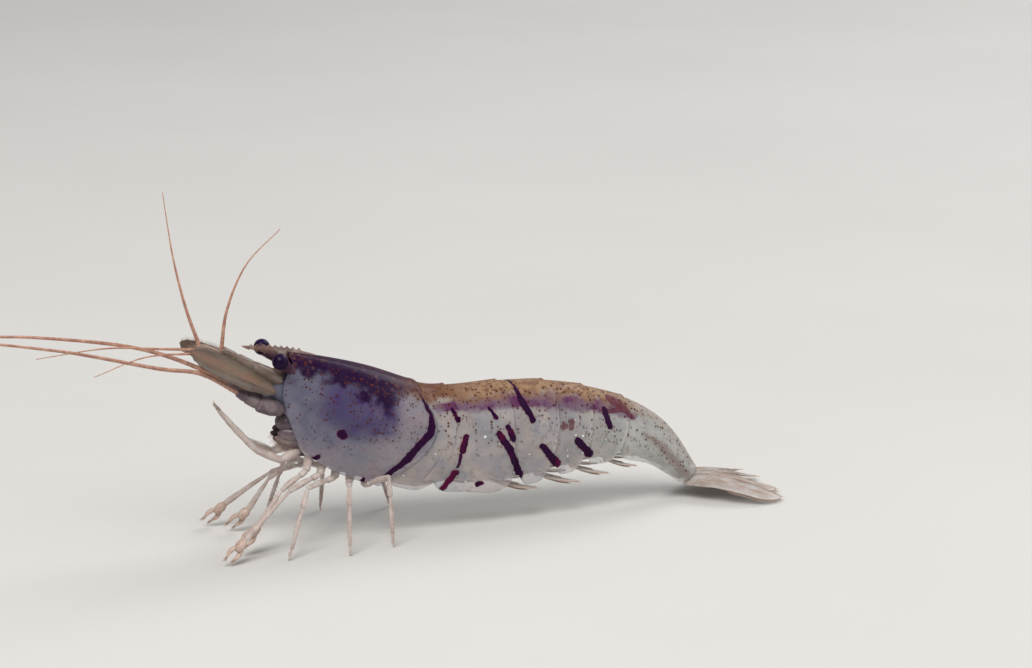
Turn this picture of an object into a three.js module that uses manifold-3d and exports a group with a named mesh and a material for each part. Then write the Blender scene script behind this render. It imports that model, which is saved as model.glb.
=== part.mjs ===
// A life-size aquarium shrimp, a small tiger-striped freshwater Caridina, walking with its head raised.
// Millimetres, +Z up, head towards -X, its left side towards -Y. The trunk is one surface swept along a bent
// spine and parted into carapace and six somites. Every limb, feeler, eye and tail blade is its own solid.
import * as THREE from 'three';
import { mergeVertices } from 'three/addons/utils/BufferGeometryUtils.js';
import Module from 'manifold-3d';

const wasm = await Module();
wasm.setup();

// ---- Driving dimensions ----
const GAP = 0.06; // clear space kept between neighbouring solids
const FLOOR_LEVEL = 0; // feet and tail blades rest on it
const ORBIT = new THREE.Vector3(-12.3, 0, 7.62); // the spine's start, between the eyes

// The trunk from the orbit to the end of the tail stalk. at: distance along the spine. pitch: how steeply the
// spine falls, in degrees. up and down: from the spine to the back and to the lower edge. wide: half width.
const TRUNK = [
  { at: 0.0, pitch: 17, up: 1.98, down: 2.2, wide: 0.92 }, // orbit
  { at: 1.8, pitch: 18, up: 2.12, down: 2.75, wide: 1.42 }, // stomach
  { at: 4.2, pitch: 20, up: 2.2, down: 3.1, wide: 1.78 }, // gill chamber
  { at: 6.7, pitch: 17, up: 2.05, down: 3.05, wide: 1.72 }, // back edge of the carapace
  { at: 8.6, pitch: 5, up: 2.0, down: 3.05, wide: 1.64 }, // somite 1
  { at: 11.6, pitch: 2, up: 2.08, down: 3.25, wide: 1.66 }, // somite 2, the deepest
  { at: 14.7, pitch: 9, up: 2.05, down: 2.6, wide: 1.48 }, // somite 3, the hump
  { at: 17.1, pitch: 14, up: 1.85, down: 1.8, wide: 1.24 }, // somite 4
  { at: 19.3, pitch: 25, up: 1.55, down: 1.22, wide: 1.02 }, // tail stalk
  { at: 21.2, pitch: 44, up: 1.18, down: 0.8, wide: 0.84 }, // its middle
  { at: 23.1, pitch: 46, up: 0.76, down: 0.5, wide: 0.68 }, // its end
];
const SPINE_STEP = 0.05; // spacing of the points that the spine is summed from
const EDGE = 0.8; // the lower edge's place on a section, as a share of the way round from back to belly
const TUCK = 0.8; // distance between the lower edges, as a share of the width
const ARCH = 0.2; // height of the hollow between the lower edges, as a share of the depth
const FLARE = 0.035; // each plate's hind edge stands proud of the next plate by this share
const PLATE_SIDES = 20;

// Where each trunk plate ends. end: on the back. bulge: how much further back its hind edge reaches at mid
// height. hollow: how late on the way down that bulge begins. sway: how far back the lower edge is moved.
// notch: the opening between two lobes at the lower edge.
const CARAPACE = { end: 6.7, bulge: 1.29, hollow: 3.5, sway: -0.7, notch: 0.1, rings: 9 };
const SOMITES = [
  { end: 8.75, bulge: 0.3, hollow: 1.5, sway: -0.75, notch: 0.3, rings: 3 },
  { end: 11.6, bulge: 0.35, hollow: 1.5, sway: 0.75, notch: 0.7, rings: 3 },
  { end: 13.9, bulge: 0.5, hollow: 1.5, sway: 0.55, notch: 0.8, rings: 3 },
  { end: 15.9, bulge: 0.4, hollow: 1.5, sway: 0.45, notch: 0.7, rings: 3 },
  { end: 18.0, bulge: 0.35, hollow: 1.5, sway: 0.25, notch: 0.5, rings: 3 },
  { end: 23.1, bulge: 0, hollow: 1.5, sway: 0, notch: 0, rings: 4 },
];
// The carapace's front edge, measured back from the orbit: on the back, at the eye's bay, at the lower corner.
const FRONT_EDGE = { back: -0.13, bay: 0.22, corner: 1.95 };

// Places ahead of the trunk are [distance along the spine, height over it, distance from the middle].
const EYES = { radius: 0.41, left: [-0.7, 1.6, 1.15], right: [-1.05, 1.72, 1.15] };
const STALK_ROOT = [0.35, 1.1, 0.42];
const STALK = [[0, 0.3], [0.5, 0.27], [0.75, 0.34], [1, 0.37]]; // [share of the way to the eye, radius]
const ROSTRUM = {
  root: 1.3, tip: -2.45, rootTop: 2.12, tipTop: 1.77, crown: 0.08, depth: 0.62, thick: [0.6, 0.3],
};
const ROSTRUM_TEETH = { count: 9, first: 0.18, spread: 0.72, lean: 0.06, height: 0.13, below: 3 };
const SPAR = 0.27; // radius of the thinnest limbs and feelers

// ---- Looks ----
const material = (color, roughness) => new THREE.MeshStandardMaterial({ color, roughness, metalness: 0 });
const SHELL = material(0xb9a9a4, 0.35);
const HEAD_SHELL = material(0x6d4a55, 0.35);
const EYE = material(0x140a1c, 0.15);
const LIMB = material(0xc3b2a6, 0.4);
const FEELER = material(0xb08377, 0.45);
const FAN = material(0xb5a79b, 0.35);

// ---- The trunk's surface ----

// The value named key at a distance along the trunk, smooth through every row of TRUNK.
function along(key, at) {
  const last = TRUNK.length - 1;
  let i = 0;
  while (i < last - 1 && at > TRUNK[i + 1].at) i++;
  const slope = (k) => {
    const a = TRUNK[Math.max(k - 1, 0)];
    const b = TRUNK[Math.min(k + 1, last)];
    return (b[key] - a[key]) / (b.at - a.at);
  };
  const span = TRUNK[i + 1].at - TRUNK[i].at;
  const t = THREE.MathUtils.clamp((at - TRUNK[i].at) / span, 0, 1);
  const rise = TRUNK[i + 1][key] - TRUNK[i][key];
  const m0 = slope(i) * span;
  const m1 = slope(i + 1) * span;
  return TRUNK[i][key] + t * (m0 + t * (3 * rise - 2 * m0 - m1 + t * (m0 + m1 - 2 * rise)));
}

// The way along the spine and the way up from it, at a distance along it.
function spineWays(at) {
  const pitch = THREE.MathUtils.degToRad(along('pitch', Math.max(at, 0)));
  const way = new THREE.Vector3(Math.cos(pitch), 0, -Math.sin(pitch));
  return { way, rise: new THREE.Vector3(Math.sin(pitch), 0, Math.cos(pitch)) };
}

// The spine's points, summed step by step.
const spinePoints = [ORBIT.clone()];
for (let at = SPINE_STEP / 2; at < TRUNK.at(-1).at; at += SPINE_STEP) {
  spinePoints.push(spinePoints.at(-1).clone().addScaledVector(spineWays(at).way, SPINE_STEP));
}

// The point at a distance along the spine, a height over it and a distance y from the middle.
// Ahead of the orbit the spine runs straight on.
function trunkPoint(at, height, y) {
  const { way, rise } = spineWays(at);
  const place = Math.max(at, 0) / SPINE_STEP;
  const i = Math.min(Math.floor(place), spinePoints.length - 2);
  const on = spinePoints[i].clone().lerp(spinePoints[i + 1], place - i);
  on.addScaledVector(way, Math.min(at, 0)).addScaledVector(rise, height);
  return on.setY(y);
}

// A point of the trunk's section. turn runs from 0 on the back to 1 at the middle of the belly.
function sectionPoint(at, turn, side, grow) {
  const up = along('up', at) + grow;
  const down = along('down', at) + grow;
  const wide = along('wide', at) + grow;
  const t = turn / EDGE;
  if (t > 1) {
    const k = (turn - EDGE) / (1 - EDGE);
    const arch = ARCH * (up + down) * Math.sin((k * Math.PI) / 2);
    return trunkPoint(at, arch - down, side * wide * TUCK * (1 - k));
  }
  if (t < 0.5) {
    return trunkPoint(at, up * Math.cos(t * Math.PI), side * wide * Math.sin(t * Math.PI) ** 0.9);
  }
  const k = 2 * t - 1;
  return trunkPoint(at, -down * k, side * wide * (1 - (1 - TUCK) * k ** 2.2));
}

// Where a plate's hind edge crosses the trunk at that turn round it.
function hindEdge(plate, turn) {
  const t = Math.min(turn / EDGE, 1);
  const reach = plate.bulge * Math.sin(Math.PI * t) ** (t < 0.5 ? plate.hollow : 1.2);
  const home = turn > EDGE ? (1 - turn) / (1 - EDGE) : 1;
  return plate.end + home * (reach + plate.sway * t ** 3);
}

// Half of the notch between two lobes, which opens towards the lower edge.
function lobeCut(plate, turn) {
  const t = Math.min(turn / EDGE, 1);
  return 0.5 * plate.notch * Math.max(0, (t - 0.6) / 0.4) ** 2;
}

// The carapace's front edge: a bay for the eye, a cheek, and a rounded lower corner.
function frontEdge(turn) {
  const t = Math.min(turn / EDGE, 1);
  const bay = FRONT_EDGE.bay * Math.exp(-(((t - 0.22) / 0.1) ** 2));
  return FRONT_EDGE.back + bay + FRONT_EDGE.corner * Math.max(0, (t - 0.35) / 0.65) ** 2;
}

// ---- Making closed solids ----

// Welds a geometry's points and turns its faces outwards.
function closed(geometry) {
  geometry.deleteAttribute('normal');
  geometry.deleteAttribute('uv');
  const welded = mergeVertices(geometry, 1e-4);
  const index = welded.index.array;
  const position = welded.getAttribute('position');
  const corners = [0, 1, 2].map(() => new THREE.Vector3());
  let volume = 0;
  for (let i = 0; i < index.length; i += 3) {
    const [a, b, c] = corners.map((v, k) => v.fromBufferAttribute(position, index[i + k]));
    volume += a.dot(b.cross(c));
  }
  if (volume < 0) index.reverse();
  return welded;
}

// A closed geometry as a manifold solid.
function solidOf(geometry) {
  const welded = closed(geometry);
  return new wasm.Manifold(new wasm.Mesh({
    numProp: 3,
    vertProperties: new Float32Array(welded.getAttribute('position').array),
    triVerts: new Uint32Array(welded.index.array),
  }));
}

// Moves each point of a geometry to where move sends it.
function carry(geometry, move) {
  const position = geometry.getAttribute('position');
  const point = new THREE.Vector3();
  for (let i = 0; i < position.count; i++) {
    const to = move(point.fromBufferAttribute(position, i));
    position.setXYZ(i, to.x, to.y, to.z);
  }
  return geometry;
}

// A closed cylinder whose points place puts, from their turn round it, share of its length and share of radius.
function shaped(sides, rings, place) {
  const cylinder = new THREE.CylinderGeometry(1, 1, 1, sides, rings);
  return solidOf(carry(cylinder, (p) => {
    const radius = Math.round(Math.hypot(p.x, p.z));
    const turn = radius ? Math.round((Math.atan2(p.x, p.z) * sides) / (2 * Math.PI)) / sides : 0;
    return place(turn, p.y + 0.5, radius);
  }));
}

// A limb through stations [point, half width, half thickness], its width lying along across.
function limb(stations, across, grow, sides = 6) {
  const last = stations.length - 1;
  const round = 1 / Math.cos(Math.PI / sides); // the flats, not the corners, lie at the stated thickness
  const rings = stations.map(([point, width, thickness = width], i) => {
    const heading = stations[Math.min(i + 1, last)][0].clone().sub(stations[Math.max(i - 1, 0)][0]).normalize();
    const wide = across.clone().addScaledVector(heading, -across.dot(heading)).normalize();
    const thick = heading.clone().cross(wide);
    const longer = i === last ? grow : i === 0 ? -grow : 0;
    return {
      at: point.clone().addScaledVector(heading, longer),
      wide: wide.multiplyScalar((width + grow) * round),
      thick: thick.multiplyScalar((thickness + grow) * round),
    };
  });
  return shaped(sides, last, (turn, share, radius) => {
    const { at, wide, thick } = rings[Math.round(share * last)];
    const angle = 2 * Math.PI * turn;
    return at.clone()
      .addScaledVector(wide, radius * Math.sin(angle))
      .addScaledVector(thick, radius * Math.cos(angle));
  });
}

// An egg at a place of the head, with its half lengths along the spine, over it and across.
function egg(place, half, grow, columns = 10, rows = 6) {
  const ball = new THREE.SphereGeometry(1, columns, rows);
  const { way, rise } = spineWays(0);
  return solidOf(carry(ball, (p) => trunkPoint(...place)
    .addScaledVector(way, p.x * (half[0] + grow))
    .addScaledVector(rise, p.y * (half[1] + grow))
    .add(new THREE.Vector3(0, p.z * (half[2] + grow), 0))));
}

// The point that lies t of the way from a to b.
const between = (a, b, t) => a.clone().lerp(b, t);

// A bent limb's knee, over the line from hip to foot, for given lengths above and below it.
function kneeOf(hip, foot, above, below) {
  const line = foot.clone().sub(hip);
  const reach = Math.min(line.length(), 0.98 * (above + below));
  const forward = (above ** 2 - below ** 2 + reach ** 2) / (2 * reach);
  const heading = line.normalize();
  const rise = UPRIGHT.clone().addScaledVector(heading, -UPRIGHT.dot(heading)).normalize();
  const bend = Math.sqrt(above ** 2 - forward ** 2);
  return hip.clone().addScaledVector(heading, forward).addScaledVector(rise, bend);
}

// ---- The pieces, in order: each gives way to those before it ----
const UPRIGHT = new THREE.Vector3(0, 0, 1);
const CROSSWISE = new THREE.Vector3(0, 1, 0);
const SIDES = { left: -1, right: 1 };
const pieces = [];
const piece = (name, look, make) => pieces.push({ name, look, make });
const eachSide = (make) => Object.entries(SIDES).forEach(([name, side]) => make(name, side));
const headStations = (rows, side) => rows.map(([at, height, out, ...size]) => [
  trunkPoint(at, height, side * out), ...size]);

// A trunk plate between two edges, which are functions of the turn round the body.
function plate(rings, front, hind, flare, grow) {
  const sink = 0.45; // depth of the end faces' middles under the spine, as a share of the height over it
  return shaped(PLATE_SIDES, rings, (turn, share, radius) => {
    const round = Math.abs(turn) * 2;
    const from = (radius ? front(round) : (front(0) + front(0.5)) / 2) - grow;
    const to = (radius ? hind(round) : (hind(0) + hind(0.5)) / 2) + grow;
    const at = THREE.MathUtils.lerp(from, to, share);
    const on = trunkPoint(at, 0, 0);
    if (!radius) return trunkPoint(at, -sink * along('up', at), 0);
    const proud = 1 + flare * share ** 2;
    return sectionPoint(at, round, Math.sign(turn), grow).sub(on).multiplyScalar(proud).add(on);
  });
}

piece('carapace', HEAD_SHELL, (grow) =>
  plate(CARAPACE.rings, frontEdge, (turn) => hindEdge(CARAPACE, turn) - lobeCut(CARAPACE, turn), FLARE, grow));

SOMITES.forEach((somite, i) => {
  const before = i ? SOMITES[i - 1] : CARAPACE;
  const front = (turn) => hindEdge(before, turn) + GAP + lobeCut(before, turn);
  const hind = (turn) => hindEdge(somite, turn) - lobeCut(somite, turn);
  const flare = i < SOMITES.length - 1 ? FLARE : 0;
  piece(`somite_${i + 1}`, SHELL, (grow) => plate(somite.rings, front, hind, flare, grow));
});

// The rostrum: a saw-toothed blade that carries the back's ridge on over the eyes.
function rostrumOutline() {
  const length = ROSTRUM.root - ROSTRUM.tip;
  const top = (s) => ROSTRUM.rootTop + ROSTRUM.crown * Math.sin(Math.PI * s)
    + (ROSTRUM.tipTop - ROSTRUM.rootTop) * s ** 1.5;
  const belly = (s) => top(s) - ROSTRUM.depth * (1 - s) ** 0.7;
  const outline = new THREE.Shape();
  outline.moveTo(0, belly(0));
  outline.lineTo(0, top(0));
  for (let i = 0; i < ROSTRUM_TEETH.count; i++) {
    const s = ROSTRUM_TEETH.first + (ROSTRUM_TEETH.spread * i) / ROSTRUM_TEETH.count;
    const tip = s + ROSTRUM_TEETH.lean;
    outline.lineTo(s * length, top(s));
    outline.lineTo(tip * length, top(tip) + ROSTRUM_TEETH.height * (1 - 0.5 * s));
  }
  outline.lineTo(length, top(1));
  for (let i = 1; i <= ROSTRUM_TEETH.below; i++) {
    const s = 1 - 0.12 * i;
    outline.lineTo((s + 0.05) * length, belly(s) - 0.02);
    outline.lineTo(s * length, belly(s));
  }
  outline.closePath();
  return outline;
}
piece('rostrum', HEAD_SHELL, (grow) => {
  const blade = new THREE.ExtrudeGeometry(rostrumOutline(), { depth: 1, bevelEnabled: false });
  return solidOf(carry(blade, (p) => {
    const thick = THREE.MathUtils.lerp(...ROSTRUM.thick, p.x / (ROSTRUM.root - ROSTRUM.tip)) + 2 * grow;
    return trunkPoint(ROSTRUM.root - p.x, p.y, (p.z - 0.5) * thick);
  }));
});

// The face between the eyes, the eyes on their stalks, and the bundle of mouthparts under them.
piece('face', HEAD_SHELL, (grow) => egg([0.05, 0.2, 0], [0.95, 1.05, 0.78], grow));
eachSide((name, side) => {
  const [at, height, out] = EYES[name];
  const half = [EYES.radius, EYES.radius, EYES.radius];
  piece(`eye_${name}`, EYE, (grow) => egg([at, height, side * out], half, grow, 10, 7));
  const root = trunkPoint(STALK_ROOT[0], STALK_ROOT[1], side * STALK_ROOT[2]);
  const eye = trunkPoint(at, height, side * out);
  const stations = STALK.map(([share, radius]) => [between(root, eye, share), radius]);
  piece(`eyestalk_${name}`, HEAD_SHELL, (grow) => limb(stations, UPRIGHT, grow));
});
piece('mouthparts', LIMB, (grow) => egg([1.4, -1.8, 0], [1.35, 0.9, 0.9], grow));

// The floor of the thorax, which carries the legs.
const THORAX = { stations: [1.5, 3.0, 4.5, 6.1], height: -2.3, wide: 0.86, thick: 0.42 };
piece('thorax_floor', LIMB, (grow) => limb(
  THORAX.stations.map((at) => [trunkPoint(at, THORAX.height, 0), THORAX.wide, THORAX.thick]),
  CROSSWISE, grow));

// First feelers: a three-jointed stem beside the rostrum that carries an upper and a lower lash.
const ANTENNULE = { root: [-0.4, 0.55, 0.42], left: [-3.55, 1.45, 0.46], right: [-4.35, 1.2, 0.46] };
const ANTENNULE_RADII = [[0, 0.42], [0.46, 0.36], [0.5, 0.31], [0.73, 0.34], [0.77, 0.28], [1, 0.3]];
// Each lash runs out from the end of its stem through these offsets: ahead, outwards and up.
const UPPER_LASH = {
  left: [[-0.25, 0.25, 1.95], [-1.1, 0.9, 4.3], [-2.6, 1.7, 6.1]],
  right: [[0.5, 0.5, 1.8], [0.95, 0.95, 4.2], [1.25, 1.55, 7.4]],
};
const LOWER_LASH = {
  left: [[1.6, 0.45, 0.25], [4.1, 1.5, 0.55], [6.9, 3.0, 0.2]],
  right: [[1.9, 0.45, 0.1], [4.2, 1.2, 0.15], [7.4, 3.2, -0.6]],
};
const LASH_STEP = 2.1; // spacing of a lash's stations

// Stations of a lash through its offsets, evenly spaced.
function lash(start, side, offsets, root, tip) {
  const through = offsets.map(([ahead, out, up]) =>
    start.clone().add(new THREE.Vector3(-ahead, side * out, up)));
  const first = through[0].clone().sub(start).setLength(1.5 * GAP).add(start);
  const curve = new THREE.CatmullRomCurve3([first, ...through]);
  const steps = Math.max(5, Math.round(curve.getLength() / LASH_STEP));
  return curve.getSpacedPoints(steps).map((point, i) => [point, THREE.MathUtils.lerp(root, tip, i / steps)]);
}
eachSide((name, side) => {
  const [at, height, out] = ANTENNULE[name];
  const root = trunkPoint(ANTENNULE.root[0], ANTENNULE.root[1], side * ANTENNULE.root[2]);
  const end = trunkPoint(at, height, side * out);
  const stem = ANTENNULE_RADII.map(([share, radius]) => [between(root, end, share), radius]);
  const below = end.clone().add(new THREE.Vector3(0, side * 0.1, -0.15));
  const upper = lash(end, side, UPPER_LASH[name], 0.28, SPAR);
  const lower = lash(below, side, LOWER_LASH[name], SPAR, SPAR);
  piece(`antennule_stem_${name}`, FEELER, (grow) => limb(stem, UPRIGHT, grow));
  piece(`antennule_upper_${name}`, FEELER, (grow) => limb(upper, CROSSWISE, grow));
  piece(`antennule_lower_${name}`, FEELER, (grow) => limb(lower, UPRIGHT, grow));
});

// Second feelers: a stout stem, a leaf-like scale over it, and the long feeler beyond.
const STEM = [
  [0.1, -0.8, 0.7, 0.5], [-0.9, -0.74, 0.85, 0.48], [-1.0, -0.72, 0.87, 0.34], [-2.3, -0.36, 0.95, 0.32],
];
const SCALE = {
  root: [-0.45, 0.05, 1.0], tip: [-5.1, 1.12, 1.12], tilt: 56, half: 0.68, thick: 0.25, steps: 5,
};
const LONG_FEELER = {
  left: [
    [1.87, 0.2, 1.2], [4.05, 1.05, 1.86], [9.5, 2.5, 3.6],
    [15.0, 4.9, 4.9], [19.0, 8.1, 4.6], [21.4, 11.4, 3.2],
  ],
  right: [
    [1.87, 0.2, 1.1], [4.2, 1.1, 1.9], [9.0, 2.2, 2.6],
    [14.0, 4.4, 2.6], [17.8, 7.6, 3.1], [20.2, 11.4, 4.4],
  ],
};
eachSide((name, side) => {
  const stem = headStations(STEM, side);
  const feeler = lash(stem.at(-1)[0], side, LONG_FEELER[name], 0.29, SPAR);
  piece(`antenna_stem_${name}`, LIMB, (grow) => limb(stem, UPRIGHT, grow));
  const tilt = THREE.MathUtils.degToRad(SCALE.tilt);
  const across = new THREE.Vector3(0, side * Math.cos(tilt), -Math.sin(tilt));
  const root = trunkPoint(SCALE.root[0], SCALE.root[1], side * SCALE.root[2]);
  const tip = trunkPoint(SCALE.tip[0], SCALE.tip[1], side * SCALE.tip[2]);
  const blade = Array.from({ length: SCALE.steps + 1 }, (_, i) => {
    const s = i / SCALE.steps;
    const swell = Math.sin(Math.PI * (0.16 + 0.78 * s)) ** 0.7;
    return [between(root, tip, s), SCALE.thick + (SCALE.half - SCALE.thick) * swell, SCALE.thick];
  });
  piece(`antennal_scale_${name}`, FAN, (grow) => limb(blade, across, grow));
  piece(`antenna_${name}`, FEELER, (grow) => limb(feeler, CROSSWISE, grow));
});

// Third maxillipeds: slim feeding legs folded forward under the head.
const MAXILLIPED = [[1.6, -2.6, 0.62, 0.34], [0.8, -3.2, 0.85, 0.3], [-0.6, -2.95, 0.95, 0.27],
  [-1.8, -2.2, 0.85, 0.27], [-2.8, -1.45, 0.68, 0.26]];
eachSide((name, side) => piece(`maxilliped_${name}`, LIMB, (grow) =>
  limb(headStations(MAXILLIPED, side), CROSSWISE, grow)));

// Legs: a hip under the body, then a thigh up to the knee and a shin down to the claw or the foot.
const HIP = { height: -2.5, out: 0.66 };
const LEG_ROOT = { height: -3.4, out: 1.02 };
const SOLE = FLOOR_LEVEL - GAP; // where a walking leg's axis ends, so that the floor cuts it a flat sole
const CLAW_LEGS = [
  { number: 1, hip: 2.2, thigh: 1.6, shin: 1.5, end: { left: [-13.9, -1.75, 1.45], right: [-13.5, 1.7, 1.2] } },
  { number: 2, hip: 3.0, thigh: 2.0, shin: 2.3, end: { left: [-14.9, -2.9, 1.15], right: [-14.4, 2.95, 1.2] } },
];
const WALKING_LEGS = [
  { number: 3, hip: 3.8, thigh: 2.2, shin: 3.7, end: { left: [-12.9, -3.4, SOLE], right: [-12.2, 3.6, SOLE] } },
  { number: 4, hip: 4.6, thigh: 2.1, shin: 3.5, end: { left: [-9.9, -3.7, SOLE], right: [-9.2, 3.9, SOLE] } },
  { number: 5, hip: 5.4, thigh: 2.1, shin: 3.6, end: { left: [-7.5, -3.1, SOLE], right: [-5.6, 3.4, SOLE] } },
];
// Stations of a leg: [share of the way down the thigh or the shin, radius].
const SHARES_OF_THIGH = [[0.12, SPAR], [0.6, 0.31], [0.95, 0.28]];
const CLAW_SHIN = [[0.15, SPAR], [0.85, 0.31], [1, SPAR]];
const WALKING_SHIN = [[0.1, SPAR], [0.3, 0.28], [1, SPAR]];
const CLAW = { length: 1.1, palm: 0.36, finger: 0.26, spread: 0.17, way: [-0.8, 0, -0.75], out: 0.25 };

// A leg from the hip under the trunk's edge over the knee to its end, whose shin has its own stations.
function legSolid(leg, side, end, shin, grow) {
  const hip = trunkPoint(leg.hip, HIP.height, side * HIP.out);
  const root = trunkPoint(leg.hip, LEG_ROOT.height, side * LEG_ROOT.out);
  const knee = kneeOf(root, end, leg.thigh, leg.shin);
  const square = knee.clone().sub(root).cross(end.clone().sub(knee)).normalize();
  const thigh = SHARES_OF_THIGH.map(([share, radius]) => [between(root, knee, share), radius]);
  const below = shin.map(([share, radius]) => [between(knee, end, share), radius]);
  return limb([[hip, 0.34], [root, 0.3], ...thigh, ...below], square, grow);
}

// A small claw: a palm and two blunt fingers that carry the bristles.
function clawSolid(wrist, grow) {
  const droop = new THREE.Vector3(...CLAW.way).setY(CLAW.out * Math.sign(wrist.y)).normalize();
  const start = wrist.clone().addScaledVector(droop, 1.5 * GAP);
  const middle = start.clone().addScaledVector(droop, 0.5 * CLAW.length);
  const end = start.clone().addScaledVector(droop, CLAW.length);
  const finger = (turned) => {
    const apart = new THREE.Vector3(-turned, 0, 0.6 * turned);
    const stations = [[between(start, middle, 0.7), CLAW.finger], [end.clone().add(apart), 0.8 * CLAW.finger]];
    return limb(stations, CROSSWISE, grow);
  };
  const palm = limb([[start, 0.25], [between(start, middle, 0.5), CLAW.palm], [middle, 0.32]], CROSSWISE, grow);
  return palm.add(finger(CLAW.spread)).add(finger(-CLAW.spread));
}

CLAW_LEGS.forEach((leg) => eachSide((name, side) => {
  const wrist = new THREE.Vector3(...leg.end[name]);
  piece(`leg_${leg.number}_${name}`, LIMB, (grow) => legSolid(leg, side, wrist, CLAW_SHIN, grow));
  piece(`claw_${leg.number}_${name}`, LIMB, (grow) => clawSolid(wrist, grow));
}));
WALKING_LEGS.forEach((leg) => eachSide((name, side) => {
  const foot = new THREE.Vector3(...leg.end[name]);
  piece(`leg_${leg.number}_${name}`, LIMB, (grow) => legSolid(leg, side, foot, WALKING_SHIN, grow));
}));

// Swimmerets: under somites 1 to 5, a flat stem that carries two blades swept back.
const SWIMMERET = {
  out: 0.55, sink: 0.62, stem: [0.75, 0.12, -1.2], outer: [2.2, 0.4, -0.5], inner: [1.8, -0.2, -0.7],
};
const SWIMMERET_SIZES = [0.8, 1.0, 0.95, 0.82, 0.68];
SWIMMERET_SIZES.forEach((size, i) => eachSide((name, side) => {
  const from = i ? SOMITES[i - 1].end : CARAPACE.end;
  const at = THREE.MathUtils.lerp(from, SOMITES[i].end, 0.62);
  const offset = ([back, out, up]) => new THREE.Vector3(back, side * out, up).multiplyScalar(size);
  const root = trunkPoint(at, -SWIMMERET.sink * along('down', at), side * SWIMMERET.out * Math.sqrt(size));
  const fork = root.clone().add(offset(SWIMMERET.stem));
  const tips = [SWIMMERET.outer, SWIMMERET.inner].map((way) => fork.clone().add(offset(way)));
  const widest = between(fork, tips[0], 0.55);
  const outer = [
    [root, 0.34], [between(root, fork, 0.9), 0.4 * size, 0.3], [widest, 0.38 * size, SPAR], [tips[0], SPAR],
  ];
  const inner = [[between(root, fork, 0.8), SPAR], [tips[1], SPAR]];
  piece(`swimmeret_${i + 1}_${name}`, LIMB, (grow) =>
    limb(outer, CROSSWISE, grow).add(limb(inner, CROSSWISE, grow)));
}));

// The tail fan: the telson in the middle, an inner and an outer blade on each side, tips resting on the floor.
const TAIL_END = trunkPoint(TRUNK.at(-1).at, 0, 0);
const BLADE = { tipHeight: 0.2, lift: 0.5, thick: 0.26 };
const TELSON = { root: [0.12, 0, 0.14], tip: [13.45, 0], halves: [0.46, 0.58, 0.54, 0.42, 0.28], roll: 0 };
const UROPODS = {
  inner: { root: [0.1, 0.36, -0.06], tip: [13.9, 1.3], halves: [0.3, 0.52, 0.64, 0.58, 0.3], roll: 8 },
  outer: { root: [-0.05, 0.5, -0.24], tip: [13.5, 2.75], halves: [0.3, 0.6, 0.78, 0.74, 0.34], roll: 12 },
};
function fanBlade(blade, side, grow) {
  const [back, out, up] = blade.root;
  const root = TAIL_END.clone().add(new THREE.Vector3(back, side * out, up));
  const tip = new THREE.Vector3(blade.tip[0], side * blade.tip[1], BLADE.tipHeight);
  const roll = THREE.MathUtils.degToRad(blade.roll);
  const stations = blade.halves.map((half, i) => {
    const s = i / (blade.halves.length - 1);
    const point = between(root, tip, s);
    point.z += BLADE.lift * Math.sin(Math.PI * s) * (1 - s);
    return [point, half, BLADE.thick];
  });
  return limb(stations, new THREE.Vector3(0, Math.cos(roll), -side * Math.sin(roll)), grow, 8);
}
piece('telson', FAN, (grow) => fanBlade(TELSON, 1, grow));
Object.entries(UROPODS).forEach(([place, blade]) => eachSide((name, side) =>
  piece(`uropod_${place}_${name}`, FAN, (grow) => fanBlade(blade, side, grow))));

// ---- Cutting each piece clear of those before it, and level with the floor ----
const GROUND = solidOf(new THREE.BoxGeometry(200, 200, 10).translate(0, 0, FLOOR_LEVEL - 5));

const meets = (a, b) => {
  const [p, q] = [a.boundingBox(), b.boundingBox()];
  return p.min.every((low, i) => low < q.max[i] && q.min[i] < p.max[i]);
};
// A cut can leave crumbs: the largest body is the piece.
const largest = (solid) => solid.decompose().sort((a, b) => b.volume() - a.volume())[0];

const shrimp = new THREE.Group();
const before = [];
for (const { name, look, make } of pieces) {
  let solid = make(0);
  for (const other of before) if (meets(solid, other)) solid = solid.subtract(other);
  if (meets(solid, GROUND)) solid = solid.subtract(GROUND);
  const mesh = largest(solid).getMesh();
  const geometry = new THREE.BufferGeometry()
    .setAttribute('position', new THREE.BufferAttribute(mesh.vertProperties, 3))
    .setIndex(new THREE.BufferAttribute(mesh.triVerts, 1));
  geometry.computeVertexNormals();
  const made = new THREE.Mesh(geometry, look);
  made.name = name;
  shrimp.add(made);
  before.push(make(GAP));
}

// The part's origin is the middle of its footprint, on the floor.
const box = new THREE.Box3().setFromObject(shrimp);
const middle = box.getCenter(new THREE.Vector3());
shrimp.position.set(-middle.x, -middle.y, -FLOOR_LEVEL);

export default shrimp;
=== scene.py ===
"""Dresses the frame of a life-size aquarium shrimp, a small tiger-striped freshwater Caridina.

Sizes inside the classes are millimetres in the frame of the spine, with the head towards -X and the left side
towards -Y. A place on the animal is a distance along the spine, a height over it and a distance out from the
middle. Workshop.finish takes each piece to the part's own frame, in metres.
"""
import logging
import math
import random
from bisect import bisect_left
from collections.abc import Callable, Mapping, Sequence
from dataclasses import dataclass, field
from enum import Enum
from functools import cached_property, reduce
from typing import Any

import bmesh
import bpy
from mathutils import Matrix, Vector


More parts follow.
